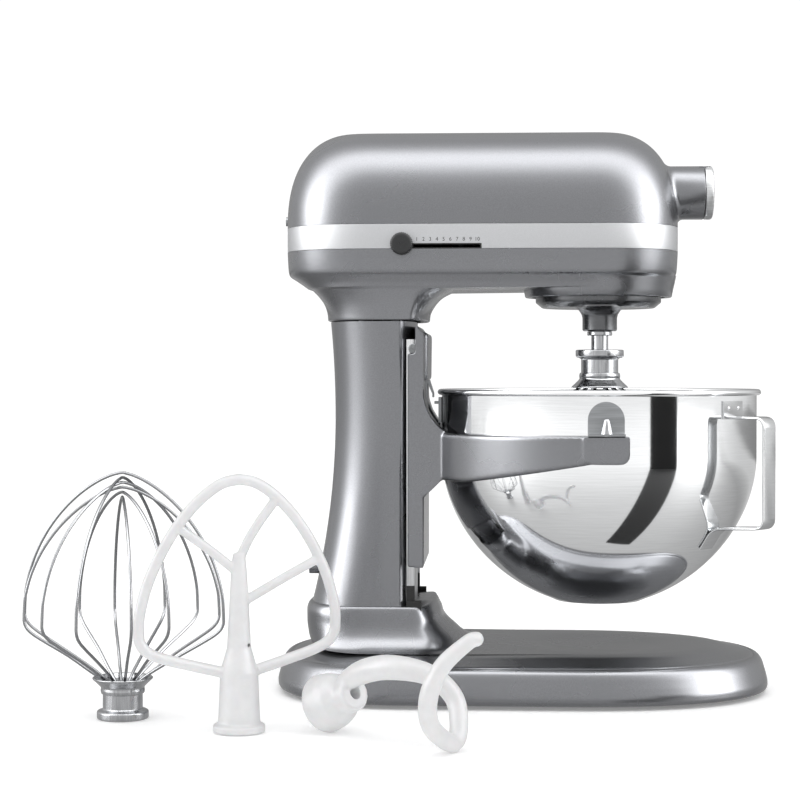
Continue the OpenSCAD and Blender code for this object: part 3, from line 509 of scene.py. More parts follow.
def metallic_enamel(name, colour):
    """Metallic enamel sprayed on cast aluminium: flakes under a clear film with faint orange peel."""
    film = {"Coat Weight": 0.25, "Coat Roughness": 0.12}
    material, tree, shader, place = new_material(name, colour, 0.27, 0.9, film)
    # flakes are 0.05 mm on the real paint, drawn 0.7 mm so that they show
    flakes = noise(tree, place, 1400.0)
    vary_colour(tree, shader, flakes, shaded(colour, 0.93), shaded(colour, 1.07))
    vary_roughness(tree, shader, noise(tree, place, 14.0, 3.0), 0.25, 0.3)
    emboss(tree, shader, noise(tree, place, 420.0, 1.0), 0.012)
    return material


def satin_aluminium(name, colour):
    """Bead-blasted, clear-anodised aluminium: pale, with an even soft sheen and a fine grit."""
    made = new_material(name, colour, 0.42, 0.9)
    return textured(made, noise(made[1], made[3], 2200.0), colour, (0.95, 1.04), (0.38, 0.46), 0.008)


def polished_stainless(name, code, rough=0.05, smear=0.03):
    """Buffed stainless steel: a mirror with faint smears and hairlines from the buffing wheel."""
    colour = hex_colour(code)
    material, tree, shader, place = new_material(name, colour, rough, 1.0)
    vary_roughness(tree, shader, noise(tree, place, 22.0, 4.0), rough, rough + smear)
    # hairlines are 0.02 mm apart on the real sheet, drawn 0.8 mm apart so that they show
    lines = noise(tree, squeezed(tree, place, (40.0, 40.0, 1250.0)), 1.0)
    vary_colour(tree, shader, lines, shaded(colour, 0.97), shaded(colour, 1.02))
    emboss(tree, shader, lines, 0.0015)
    return material


def brushed_steel(name, code, rough=0.26, stretch=(30.0, 900.0, 900.0)):
    """Machined or brushed steel: fine parallel lines that spread the highlight across them."""
    colour = hex_colour(code)
    made = new_material(name, colour, rough, 1.0)
    lines = noise(made[1], squeezed(made[1], made[3], stretch), 1.0, 3.0)
    return textured(made, lines, colour, (0.86, 1.08), (rough - 0.06, rough + 0.08), 0.01)


def nylon_coating(name, colour):
    """Nylon fused on cast aluminium: white, satin and slightly wavy where it flowed."""
    depth = {"Subsurface Weight": 0.08, "Subsurface Scale": 0.0015}
    made = new_material(name, colour, 0.36, extra=depth)
    return textured(made, noise(made[1], made[3], 110.0), colour, (0.97, 1.02), (0.32, 0.42), 0.05)


def moulded_black(name, code, rough, grain, depth):
    """Moulded plastic or rubber, with the fine spark grain of the mould."""
    colour = hex_colour(code)
    made = new_material(name, colour, rough)
    spots = add_node(made[1], "ShaderNodeTexVoronoi", {"Scale": 1000.0 / grain}, {"Vector": made[3]})
    spread = (rough - 0.04, rough + 0.06)
    return textured(made, spots.outputs["Distance"], colour, (0.85, 1.2), spread, depth, (0.1, 0.8))


def cast_metal(name, code, metallic, rough, grain=1.6):
    """As-cast or sintered metal: dull, with a fine pebbled skin."""
    colour = hex_colour(code)
    made = new_material(name, colour, rough, metallic)
    pebbles = noise(made[1], made[3], 1000.0 / grain, 4.0)
    return textured(made, pebbles, colour, (0.82, 1.12), (rough - 0.05, rough + 0.08), 0.06)


def banded(name, dark, light, axis_scale, metallic, rough):
    """Stacked sheets or wound wire: thin lines at the real spacing across one axis."""
    material, tree, shader, place = new_material(name, hex_colour(light), rough, metallic)
    settings = {"Scale": 1.0, "Distortion": 0.6, "Detail": 1.0}
    lines = add_node(
        tree, "ShaderNodeTexWave", settings, {"Vector": squeezed(tree, place, axis_scale)}
    ).outputs["Fac"]
    vary_colour(tree, shader, lines, hex_colour(dark), hex_colour(light), 0.2, 0.6)
    emboss(tree, shader, lines, 0.15)
    return material


def printed_board(name):
    """Glass-epoxy circuit board: green lacquer over copper tracks."""
    green, deep, track = [hex_colour(code) for code in ("#1c5b33", "#1a5530", "#5d8f4a")]
    material, tree, shader, place = new_material(name, green, 0.35)
    settings = {"Scale": 260.0, "Mortar Size": 0.03, "Color1": green, "Color2": deep, "Mortar": track}
    tracks = add_node(tree, "ShaderNodeTexBrick", settings, {"Vector": place})
    tree.links.new(tracks.outputs["Color"], shader.inputs["Base Color"])
    emboss(tree, shader, tracks.outputs["Fac"], 0.04)
    return material


class MIXER_OT_finishes(bpy.types.Operator):
    """Make the materials of the mixer"""

    bl_idname = "mixer.finishes"
    bl_label = "Finishes"

    def execute(self, context):
        colours = context.scene.mixer_colours
        FINISHES.update(
            paint=metallic_enamel("metallic_enamel_on_aluminium", tuple(colours.paint)),
            band=satin_aluminium("satin_anodised_aluminium", tuple(colours.band)),
            mirror=polished_stainless("polished_stainless_bowl", "#e8e9ea"),
            strap=polished_stainless("polished_stainless_strap", "#cfd0d1", 0.1, 0.05),
            wire=polished_stainless("drawn_stainless_wire", "#8c8d8f", 0.2, 0.05),
            turned_steel=brushed_steel("turned_stainless", "#a6a7a9", 0.22, (900.0, 900.0, 60.0)),
            milled_steel=brushed_steel("milled_steel_way", "#d4d5d6", 0.24, (900.0, 900.0, 25.0)),
            cap=brushed_steel("turned_satin_cap", "#c9cacb", 0.4, (25.0, 900.0, 900.0)),
            zinc=brushed_steel("zinc_plated_steel", "#8e9092", 0.34),
            coating=nylon_coating("nylon_coated_casting", tuple(colours.coating)),
            black=moulded_black("black_phenolic", "#161718", 0.42, 0.6, 0.02),
            slot=moulded_black("black_abs_liner", "#0b0b0b", 0.6, 0.5, 0.02),
            rubber=moulded_black("black_rubber", "#161616", 0.72, 0.9, 0.04),
            planetary=metallic_enamel("dark_enamel_on_cast_zinc", hex_colour("#5a5b5d")),
            casting=cast_metal("as_cast_aluminium", "#9a9b9c", 0.85, 0.5),
            gear=brushed_steel("cut_gear_steel", "#8d8f92", 0.32, (500.0, 500.0, 500.0)),
            bronze=cast_metal("oil_filled_bronze", "#a8803f", 0.9, 0.4, 0.8),
            brass=brushed_steel("turned_brass", "#b58b45", 0.3, (500.0, 500.0, 500.0)),
            sheets=banded("silicon_steel_stack", "#3c3e41", "#77797c", (320.0, 0, 0), 0.9, 0.4),
            copper=banded("enamelled_copper_winding", "#5c2a12", "#b8683a", (0, 220.0, 220.0), 0.85, 0.35),
            segments=banded("copper_commutator_bars", "#6b3a1e", "#c98558", (0, 160.0, 160.0), 0.95, 0.3),
            fan=moulded_black("pale_nylon_fan", "#d8d8d2", 0.45, 0.7, 0.01),
            board=printed_board("glass_epoxy_board"),
        )
        return {"FINISHED"}


# ---------------------------------------------------------------- base and column
def base_row(sizes, inset, z):
    half_l, half_w = sizes.base_length / MM / 2, sizes.base_width / MM / 2
    return (-half_l + inset, half_l - inset, half_w - inset, 100 - inset, 150 - inset, 2.25, z)


def base_shape(sizes):
    """Hollow base: rounded skirt, flat deck with a dish, and the collar that carries the column."""
    top = sizes.base_height / MM
    skirt = [(3, 2.5), (1.1, 3.6), (0.2, 6), (0.2, 8), (1.2, 13), (2.6, 18), (4, 22.5), (5.4, 25.4)]
    rim = [(7.4, 27.2), (9.6, 27.9), (10.6, 27.5), (11.4, 27.6), (12.6, 28.3)]
    skirt += [*rim, (18.5, 29.7), (26, 31.4), (34, 33.2), (44, top)]
    outer = eased([base_row(sizes, i, z) for i, z in skirt], 4)
    foot = (-157, -27, 74, 52, 44, 2.35, top + 0.1)
    deck = [np.array(outer[-1]) * (1 - t) + np.array(foot) * t for t in np.linspace(0, 1, 44)[1:-1]]
    collar = eased(
        [
            foot,
            (-158.2, -35, 69, 50, 40, 2.4, top + 1.6),
            (-160.2, -43, 63.6, 48, 33, 2.4, top + 6),
            (-161.2, -49, 60, 47, 28, 2.45, 45),
            (-162, -57, 57, 46, 24, 2.5, 52.5),
            (-162, -61.5, 55.6, 46, 20, 2.6, 60),
            (-161, -63.6, 54.6, 45, 18, 2.6, 64),
            (-159.6, -65, 53.4, 44, 17, 2.6, 65.7),
            (-158.4, -66.4, 52, 43, 16, 2.6, 66),
        ],
        4,
    )
    rows = [oval(*row) for row in [*outer, *deck, *collar]]
    rows += [oval(-132, -106, 20, 12, 12, 2.4, z) for z in (66, 60)]
    rows += [oval(-153, -72, 47, 40, 12, 2.6, 60), oval(-154, -58, 54, 40, 20, 2.4, 28)]
    rows += [oval(*base_row(sizes, i, z)) for i, z in [(30, 27.7), (13, 25), (7, 14), (7, 2.5)]]
    verts, faces = skin(rows, closed=True)
    deep = sizes.dish_depth / MM
    away = np.hypot(verts[:, 0] - BOWL_AXIS_X, verts[:, 1])
    # a bowl-shaped hollow to 40 mm from the bowl's axis, and its run-out to 62 mm
    dish = np.clip(deep - away**2 / 1040, 0, None)
    fade = np.clip((62 - away) / 22, 0, 1) ** 2
    dish = np.where(away > 40, np.clip(deep - 1.54, 0, None) * fade, dish)
    on_deck = (verts[:, 2] > top - 0.7) & (verts[:, 2] < top + 0.5)
    verts[:, 2] -= np.where(on_deck, dish, 0)
    # the front of the collar stands a little over the seam
    hump = np.clip((verts[:, 0] + 79) / 6, 0, 1) * np.clip((50 - np.abs(verts[:, 1])) / 20, 0, 1)
    verts[:, 2] += np.where((verts[:, 2] > 58) & (verts[:, 0] > -79), 2.4 * hump, 0)
    return verts, faces


class MIXER_OT_base(bpy.types.Operator):
    """Build the base casting with its collar"""

    bl_idname = "mixer.base"
    bl_label = "Base"

    def execute(self, context):
        add_piece("base_casting", base_shape(context.scene.mixer_castings), "paint", "frame", "base")
        return {"FINISHED"}


def column_row(z, inset=0.0):
    low = max(0.0, (205 - z) / 139) ** 2
    high = max(0.0, (z - 205) / 71) ** 2
    rear = -140.8 - 17.2 * low - 3.4 * high
    half = 52 - 3.5 * math.sin(math.pi * (z - COLUMN_FOOT_Z) / (COLUMN_TOP_Z - COLUMN_FOOT_Z))
    return (rear + inset, COLUMN_FRONT - inset, half - inset, 52 - inset, 14 - inset, 2.4, z)


class MIXER_OT_column(bpy.types.Operator):
    """Build the column casting and its machined ways"""

    bl_idname = "mixer.column"
    bl_label = "Column"

    def execute(self, context):
        levels = np.linspace(COLUMN_FOOT_Z, COLUMN_TOP_Z - 0.7, 30)
        walls = [column_row(z) for z in levels] + [column_row(z, 6.0) for z in levels[::-1]]
        piece = new_piece("column_casting", stacked(walls, closed=True))
        # seats of the two ways, and the slot that the lift's yoke moves in
        for side in ((46.0, 70.0), (-70.0, -46.0)):
            carve(piece, block((-85, -60), side, (62, 277)))
        carve(piece, block((-95, -60), (-1, 17), (101.5, 174)))
        finished(piece, "paint", "frame", "column")
        low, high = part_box("slide_ways")
        reach = (low[2] / MM, high[2] / MM)
        way = block((-84.9, -79.0), (46.1, 50.0), reach)
        ways = ease_edges(new_piece("machined_ways", both_sides(way)), 0.35)
        finished(ways, "milled_steel", "frame", "slide_ways")
        return {"FINISHED"}


# ---------------------------------------------------------------- head
def head_row(sizes, inset, z):
    rear, front, half = sizes.head_rear / MM, sizes.head_front / MM, sizes.head_half / MM
    return (rear + inset, front - inset, half - inset, 70 - inset, 66 - inset, 2.3, z)


def dome_row(sizes, inset, angle):
    """Outline of the domed cover; 0 degrees is at the band and 90 at the crown."""
    rear, front, half = sizes.head_rear / MM, sizes.head_front / MM, sizes.head_half / MM
    a = math.radians(angle)
    c = math.cos(a) ** (2 / 2.4)
    end = 12 + 55 * c
    pull = inset + 55 * (1 - c)
    wide = (half - inset) * math.cos(a) ** (2 / 2.15)
    rise = (sizes.head_top / MM - inset - BAND_Z[1]) * math.sin(a) ** (2 / 2.35)
    return (rear + pull, front - pull, wide, end + 3, end, 2.3, BAND_Z[1] + rise)


class MIXER_OT_head(bpy.types.Operator):
    """Build the gear housing, the domed cover and the trim band of the head"""

    bl_idname = "mixer.head"
    bl_label = "Head"

    def execute(self, context):
        sizes = context.scene.mixer_castings
        neck = eased(
            [
                (-144.9, -70.6, 51.6, 51, 15, 2.4, 276),
                (-146.1, -69.8, 52.9, 52, 16, 2.4, 276.6),
                (-146.6, -69.2, 53.2, 52, 16, 2.4, 281),
                (-148.5, -66, 53.5, 52, 18, 2.4, 287.5),
                (-152.8, -60, 54.2, 53, 22, 2.4, 294),
                (-157.8, -50, 55, 54, 26, 2.4, 299.2),
            ],
            5,
        )
        flank = eased(
            [
                (-161.5, 97, 55.6, 54, 54, 2.45, UNDERSIDE_Z),
                (-165.8, 103.5, 56.5, 60, 58, 2.38, 303.6),
                (-170.6, 109.5, 57.8, 65, 62, 2.34, 306.8),
                head_row(sizes, 2.6, 309.3),
                head_row(sizes, 1.5, 310.8),
                head_row(sizes, 0.9, 313),
                head_row(sizes, 0.4, 319),
                head_row(sizes, 0, BAND_Z[0]),
            ],
            4,
        )
        step = head_row(sizes, BAND_T + 0.1, BAND_Z[0]), head_row(sizes, BAND_T + 0.1, SEAM_Z)
        inside = [head_row(sizes, HEAD_WALL, SEAM_Z), head_row(sizes, 8, 318), head_row(sizes, 32, 308)]
        inside += [(-140, -76, 44, 34, 12, 2.6, z) for z in (306, 276)]
        rows = [*neck, *flank, *step, *inside]
        housing = new_piece("gear_housing_casting", stacked(rows, closed=True))
        slot = block(SLOT_X, (-70, -50), SLOT_Z)
        carve(housing, slot)
        skirt = [(50, 294), (54.4, 294), (55, 294.7), (55.8, 299), (57.2, 305), (58.2, 310), (50, 310)]
        carve(housing, at(turned(skirt, 128, closed=True), BOWL_AXIS_X), "UNION")
        finished(housing, "paint", "frame", "gear_housing")

        steps = [*np.linspace(0, 74, 24), 77, 80, 82.5, 85, 87, 88.6, 89.6]
        crown = [dome_row(sizes, 0, a) for a in steps]
        under = [dome_row(sizes, HEAD_WALL, a) for a in steps[::-2]]
        lip = [head_row(sizes, HEAD_WALL, SEAM_Z), head_row(sizes, BAND_T + 0.1, SEAM_Z)]
        lip += [head_row(sizes, BAND_T + 0.1, BAND_Z[1]), head_row(sizes, 0.5, BAND_Z[1])]
        cover = new_piece("head_cover_casting", stacked([*under, *lip, *crown]))
        carve(cover, toward_x(solid_rod(18.9, 0, 60), 80, 0, HUB_Z))
        finished(cover, "paint", "frame", "head_cover")

        low, high = BAND_Z[0] + 0.1, BAND_Z[1] - 0.1
        edge = [(BAND_T, low), (0.3, low), (0.05, low + 0.25), (0, low + 0.6), (0, high - 0.6)]
        edge += [(0.05, high - 0.25), (0.3, high), (BAND_T, high)]
        band = new_piece("satin_band", stacked([head_row(sizes, *spot) for spot in edge], closed=True))
        carve(band, slot)
        finished(band, "band", "frame", "trim_band")
        return {"FINISHED"}


def cover_hit(tree, y, z):
    """Where a line along X meets the front of the cover, in millimetres."""
    spot = tree.ray_cast(Vector((0.4, y * MM, z * MM)), Vector((-1, 0, 0)))[0]
    return spot.x / MM


class MIXER_OT_power_hub(bpy.types.Operator):
    """Build the power hub: barrel with its fillet into the cover, hinged cap and thumbscrew"""

    bl_idname = "mixer.power_hub"
    bl_label = "Power hub"

    def execute(self, context):
        rim = [(9.1, 0), (HUB_R, 0), (HUB_R, 43.1), (HUB_R - 0.3, 43.7), (HUB_R - 1, 44)]
        rim += [(HUB_BORE_R + 0.6, 44), (HUB_BORE_R, 43.4), (HUB_BORE_R, 12), (9.1, 12)]
        barrel = toward_x(turned(rim, 96, closed=True), HUB_X[0], 0, HUB_Z)
        cover = bpy.data.objects["head_cover_casting"]
        work = bmesh.new()
        work.from_mesh(cover.data)
        tree = BVHTree.FromBMesh(work)
        work.free()
        # the fillet runs out on the cover this far from the barrel
        reach = 4.5
        rings = []
        for a in np.arange(120) * 2 * math.pi / 120:
            y, z = math.sin(a), math.cos(a)
            wide = cover_hit(tree, (HUB_R + reach) * y, HUB_Z + (HUB_R + reach) * z)
            near = cover_hit(tree, (HUB_R + 0.2) * y, HUB_Z + (HUB_R + 0.2) * z)
            start, bend, end = np.array(
                [(wide - 0.05, HUB_R + reach), (near, HUB_R + 0.15), (near + reach, HUB_R - 0.02)]
            )
            curve = []
            for t in np.linspace(0, 1, 9):
                curve.append((1 - t) ** 2 * start + 2 * t * (1 - t) * bend + t**2 * end)
            curve += [np.array((near + reach, HUB_R - 1.0)), np.array((near - 3, HUB_R - 1.0))]
            rings.append(np.array([(x, r * y, HUB_Z + r * z) for x, r in curve]))
        fillet = skin(rings, closed=True)
        boss = [(4.05, 0), (7, 0), (7, 14.4), (6.4, 15), (4.05, 15)]
        boss = toward_y(turned(boss, 48, closed=True), THUMBSCREW_X, 10, HUB_Z)
        ear = block((132, 140.6), (5, 7), (CAP_HINGE[1] - 2.4, CAP_HINGE[1] + 1.2))
        barrel = together(barrel, boss, both_sides(ear))
        add_piece("hub_barrel_casting", barrel, "paint", "frame", "hub_barrel")
        add_piece("hub_fillet", fillet, "paint", "frame")

        disc = [(0.5, 0), (0, 0.5), (0, 4.4), (0.5, 5.5), (1.5, 6.1), (3, 6.2), (3.6, 5.7), (5, 5.5)]
        disc = [(0, 0), *[(HUB_R - inset, z) for inset, z in disc], (4, 5.9), (0, 6)]
        cap = new_piece("hub_cap_disc", toward_x(turned(disc, 96), HUB_X[1] + 0.3, 0, HUB_Z))
        carve(cap, block((135, 137.4), (-30, 30), (CAP_HINGE[1] - 0.6, 400)))
        for side in ((4.7, 7.3), (-7.3, -4.7)):
            carve(cap, block((135, CAP_HINGE[0] + 2.2), side, (CAP_HINGE[1] - 5.4, 400)))
        pin = toward_y(solid_rod(0.8, 0, 16, 16), CAP_HINGE[0], -8, CAP_HINGE[1])
        carve(cap, pin, "UNION")
        finished(cap, "cap", "hub_cover", "hub_cap")

        grip = [(0, 0), (6.5, 0), (8.6, 0.8), (9, 2), (9, 14.5), (8.3, 16.4), (7, 17), (0, 17)]
        knob = turned(rounded(grip, 0.8), 144, flutes=18, flute_depth=0.7)
        knob = toward_y(knob, THUMBSCREW_X, 25.3, HUB_Z)
        stem = [(0, 0), (3.6, 0), (4, 0.6), (4, 12), (0, 12)]
        stem = toward_y(turned(stem, 40), THUMBSCREW_X, HUB_BORE_R + 0.4, HUB_Z)
        add_piece("thumbscrew_knob", together(knob, stem), "black", "thumbscrew", "attachment_knob")
        return {"FINISHED"}


SCALE_X = -76.9
SCALE_STEP = 4.88
SCALE_Z = 333.3
DIGIT_SIZE = 3.9


class MIXER_OT_speed_control(bpy.types.Operator):
    """Build the speed knob and the numbers of its scale"""

    bl_idname = "mixer.speed_control"
    bl_label = "Speed control"

    def execute(self, context):
        grip = [(0, 0), (6.4, 0), (7.9, 0.6), (8.25, 1.8), (8.25, 7.6), (7.8, 8.7), (6.6, 9), (0, 9)]
        knob = toward_y(turned(rounded(grip, 0.7), 160, flutes=32, flute_depth=0.25), KNOB_X, -71, 331)
        stem = toward_y(solid_rod(1.1, 0, 7, 24), KNOB_X, -62.1, 329.6)
        add_piece("speed_knob_grip", together(knob, stem), "black", "speed_control", "speed_knob")
        half = context.scene.mixer_castings.head_half / MM
        digits = []
        for i in range(10):
            text = bpy.data.curves.new("digit", "FONT")
            text.body = str(i + 1)
            text.size = DIGIT_SIZE * MM
            text.align_x = "CENTER"
            text.extrude = 0.03 * MM
            text.resolution_u = 3
            sign = bpy.data.objects.new("digit", text)
            mesh = bpy.data.meshes.new_from_object(sign)
            spot = [part * MM for part in (SCALE_X + SCALE_STEP * i, -(half + 0.03), SCALE_Z)]
            mesh.transform(Matrix.Translation(spot) @ Matrix.Rotation(math.pi / 2, 4, "X"))
            bpy.data.objects.remove(sign)
            verts = np.array([tuple(v.co / MM) for v in mesh.vertices])
            digits.append((verts, [tuple(p.vertices) for p in mesh.polygons]))
            bpy.data.meshes.remove(mesh)
        add_piece("speed_scale_numbers", together(*digits), "slot", "frame")
        return {"FINISHED"}


class MIXER_OT_planetary(bpy.types.Operator):
    """Build the planetary carrier and the beater shaft"""

    bl_idname = "mixer.planetary"
    bl_label = "Planetary"

    def execute(self, context):
        disc = [(6.05, 286), (41.5, 286), (42.4, 286.3), (46.6, 289.8), (CARRIER_R, 290.6)]
        disc += [(CARRIER_R, 294), (9.5, 294), (9.5, 304), (6.05, 304)]
        carrier = new_piece("planetary_casting", at(turned(disc, 144, closed=True), BOWL_AXIS_X))
        boss = [(6.3, 268.3), (11.9, 268.3), (12.8, 269.2), (12.8, 278), (13.4, 280.5), (15.4, 283.6)]
        boss += [(18.6, 285.6), (21, 286.3), (21, 287.5), (6.3, 287.5)]
        bore = solid_rod(6.28, 240, 320, 48)
        carve(carrier, at(turned(boss, 96, closed=True), BOWL_AXIS_X, -BEATER_OFF), "UNION")
        carve(carrier, at(bore, BOWL_AXIS_X, -BEATER_OFF))
        finished(carrier, "planetary", "planetary", "planetary_carrier")
        rod = [(0, 236), (5.4, 236), (BEATER_R, 236.9), (BEATER_R, 265), (8.8, 265), (9.2, 265.4)]
        rod += [(9.2, 267.6), (8.8, 268), (BEATER_R, 268), (BEATER_R, 300.3), (0, 300.3)]
        shaft = new_piece("beater_shaft_rod", at(turned(rod, 64), BOWL_AXIS_X, -BEATER_OFF))
        hole = toward_y(solid_rod(2, 0, 40, 32), BOWL_AXIS_X, -BEATER_OFF - 20, 243)
        carve(shaft, hole)
        finished(shaft, "turned_steel", "beater", "beater_shaft")
        return {"FINISHED"}


# ---------------------------------------------------------------- bowl lift
class MIXER_OT_carriage(bpy.types.Operator):
    """Build the bowl carriage with its arms, and the rollers and pins on it"""

    bl_idname = "mixer.carriage"
    bl_label = "Carriage"

    def execute(self, context):
        steps = np.linspace(math.pi, math.pi / 2, 50)
        middle, thick = (ARM_R[0] + ARM_R[1]) / 2, ARM_R[1] - ARM_R[0]
        rings = []
        for a in steps:
            x = BOWL_AXIS_X + middle * math.cos(a)
            low = ARM_Z[0] + max(0.0, x + 40) * ARM_TAPER
            section = strap_section(thick, ARM_Z[1] - low, 1.6)
            out = np.array([math.cos(a), math.sin(a), 0])
            centre = np.array([x, middle * math.sin(a), (low + ARM_Z[1]) / 2])
            rings.append(np.array([centre + u * out + v * np.array([0, 0, 1]) for u, v in section]))
        arm = skin(rings)
        pad = rounded([(41.4, 193.4), (41.4, 173.6), (73.4, 173.6), (73.4, 193.4)], 7.5)
        pad = slab([tuple(p) for p in pad], (ARM_R[0] + 0.3, ARM_R[1]))
        web = [(-78, 226), (-72.4, 226), (-71.6, 217), (-69, 209), (-65, 202.5), (-60, 197), (-54, 193.2)]
        web = slab([*web, (-54, 165), (-60, 158), (-66, 152), (-71, 147.5), (-78, 143)], (24, PLATE_Y))
        back, face = PLATE_X
        plate = [(back, 94.8), (face, 94.8), (face, 265.5), (back + 2, 271.7), (back, 271.7)]
        plate = slab(plate, (-PLATE_Y, PLATE_Y))
        flange = block((-84, back + 1), (52.5, PLATE_Y), (95.2, 251.6))
        yoke = block((-132, -77.6), (2, 14), (153.25, 171.25))
        panel = slab([(-74, 231), (-69.6, 233), (-69.2, 266), (-74, 268.5)], (-40, 40))
        sides = both_sides(arm, pad, web, flange)
        casting = new_piece("carriage_casting", together(plate, panel, yoke, sides))
        as_casting(casting, 1.3, 2)
        bore = solid_rod(ARM_R[0], 90, 300, 240)
        carve(casting, at(bore, BOWL_AXIS_X))
        shade(casting, 40)
        finished(casting, "paint", "bowl_slide", "carriage")

        drum = rounded([(0, 0), (3.6, 0), (3.6, 5.4), (0, 5.4)], 0.6)
        drum = toward_y(turned(drum, 60, flutes=20, flute_depth=0.25), -79.9, 50.4, 255.2)
        add_piece("slide_rollers", both_sides(drum), "zinc", "bowl_slide")

        stud = [(0, 185.4), (2.5, 185.4), (2.5, 193.4), (4.15, 193.4), (4.15, 194.2), (2.1, 204.2)]
        stud = at(turned([*stud, (1.4, 205.2), (0, 205.4)], 48), BOWL_AXIS_X, PIN_Y)
        add_piece("locating_pin_cones", both_sides(stud), "turned_steel", "bowl_slide", "locating_pins")
        return {"FINISHED"}


def bowl_outline(sizes):
    """Outside of the bowl from the middle of its bottom to under the rim, as (radius, height)."""
    radius, top = sizes.radius / MM, sizes.top / MM
    middle, drop, power = BOWL_CURVE
    low = round(sizes.bottom / MM, 3)
    flat = np.array([(0, low), (12, low), (24, low), (32, low + 0.3)])
    r = radius * np.sin(np.linspace(math.asin(38 / radius), math.pi / 2, 46))
    z = middle - drop * (1 - (r / radius) ** power) ** (1 / power)
    curve = np.stack([r, np.maximum(z, low + 0.6)], 1)
    wall = [(radius, z) for z in (183, 192, 201, 210, top - 3)]
    return np.concatenate([flat, curve, wall])


class MIXER_OT_bowl(bpy.types.Operator):
    """Build the bowl with its rolled rim, handle and brackets"""

    bl_idname = "mixer.bowl"
    bl_label = "Bowl"

    def execute(self, context):
        sizes = context.scene.mixer_bowl
        outer = bowl_outline(sizes)
        along = np.gradient(outer, axis=0)
        along /= np.linalg.norm(along, axis=1)[:, None]
        inner = outer + sizes.wall / MM * np.stack([-along[:, 1], along[:, 0]], 1)
        inner[:, 0] = np.maximum(inner[:, 0], 0)
        roll_r, roll_z = sizes.radius / MM + 0.9, sizes.top / MM - RIM_R
        turns = np.radians(np.linspace(-130, 165, 22))
        roll = [(roll_r + RIM_R * math.cos(a), roll_z + RIM_R * math.sin(a)) for a in turns]
        profile = [*outer, *roll, *inner[::-1]]
        bowl = new_piece("polished_bowl", at(turned(profile, 192), BOWL_AXIS_X), 40)
        finished(bowl, "mirror", "bowl_slide", "bowl")

        reach = sizes.radius / MM + 0.05
        path = [(reach - 1, 205.4), (reach + 30, 205.4), (reach + 30, 127.5), (105.8, 125.5), (95.6, 110.5)]
        line = rounded([np.array([r, 0.0, z]) for r, z in path], 7, 8)
        width = sizes.handle_width / MM
        strap = swept(line, strap_section(width, 2.0, 0.9), across=(0, 1, 0))
        spot = Matrix.Translation((BOWL_AXIS_X, 0, 0)) @ Matrix.Rotation(-sizes.handle_turn, 4, "Z")
        edge = [(0.05, 204.3), (1.3, 204.3), (1.5, 205), (1.5, 217.3), (0.05, 217.3)]
        arc = [(math.cos(a), math.sin(a)) for a in np.linspace(-12, 12, 9) / reach]
        tab = skin([np.array([((reach + r) * c, (reach + r) * s, z) for r, z in edge]) for c, s in arc])
        dot = [(0, 0), (1.5, 0), (1.3, 0.35), (0.6, 0.5), (0, 0.5)]
        dots = [toward_x(turned(dot, 24), reach + 1.3, y, 212) for y in (-6.2, 6.2)]
        handle = placed(together(strap, tab, *dots), spot)
        add_piece("handle_strap", handle, "strap", "bowl_slide", "bowl_handle")

        half, low, high = 12.8, 193.5, 204.5
        turns = np.radians(np.linspace(8, 172, 22))
        arch = [(-half, low), (half, low), (half, high)]
        arch += [(half * math.cos(a), high + half * math.sin(a)) for a in turns]
        arch += [(-half, high)]
        plate = slab([(BOWL_AXIS_X + x, z) for x, z in arch[::-1]], (117.85, 119.35))
        foot = block((BOWL_AXIS_X - half, BOWL_AXIS_X + half), (117.85, 130.5), (low, low + 1.5))
        brackets = new_piece("bracket_plates", both_sides(plate))
        carve(brackets, both_sides(foot), "UNION")
        for side in (PIN_Y, -PIN_Y):
            carve(brackets, at(solid_rod(4.4, 190, 199, 40), BOWL_AXIS_X, side))
        ease_edges(brackets, 0.4)
        finished(brackets, "zinc", "bowl_slide", "bowl_brackets")
        return {"FINISHED"}


class MIXER_OT_lever(bpy.types.Operator):
    """Build the lift lever and its grip"""

    bl_idname = "mixer.lever"
    bl_label = "Lift lever"

    def execute(self, context):
        x, z = LIFT_AXIS
        eye = [(7.02, -5), (10.4, -5), (11, -4.4), (11, 4.4), (10.4, 5), (7.02, 5)]
        rod = [(0, 0), (4.5, 0), (4.5, 83.2), (3.7, 84), (0, 84)]
        eye = toward_y(turned(eye, 72, closed=True), x, LEVER_Y, z)
        lever = new_piece("lever_rod", together(eye, at(turned(rod, 48), x, LEVER_Y, z + 8)))
        for vertex in lever.data.vertices:
            vertex.co.z = min(vertex.co.z, (z + 84) * MM)
        finished(lever, "turned_steel", "lift_handle", "lift_lever")
        ball = eased([(4.6, 0), (7, 0.3), (9, 6), (9.5, 22), (8.6, 29), (6.6, 33.8), (3, 35.8), (0, 36)], 5)
        ball += [(0, 14), (4.55, 14)]
        ball = at(turned(ball, 64, closed=True), x, LEVER_Y, z + 70)
        add_piece("lever_grip_ball", ball, "black", "lift_handle", "lever_grip")
        return {"FINISHED"}


# ---------------------------------------------------------------- tools
SOCKET = solid_rod(6.33, -1, 19.5, 48)
SLIT = block((-2.4, 2.4), (-10.9, 10.9), (-1, 14))
BEATER_SPOT = (-0.1885, -0.2015, 0)
BEATER_TURN = math.radians(28)
HOOK_SPOT = (-0.1335, -0.1945, 0)
WIRE_TURNS = (-14, 76, 51, 16, 129, 106)
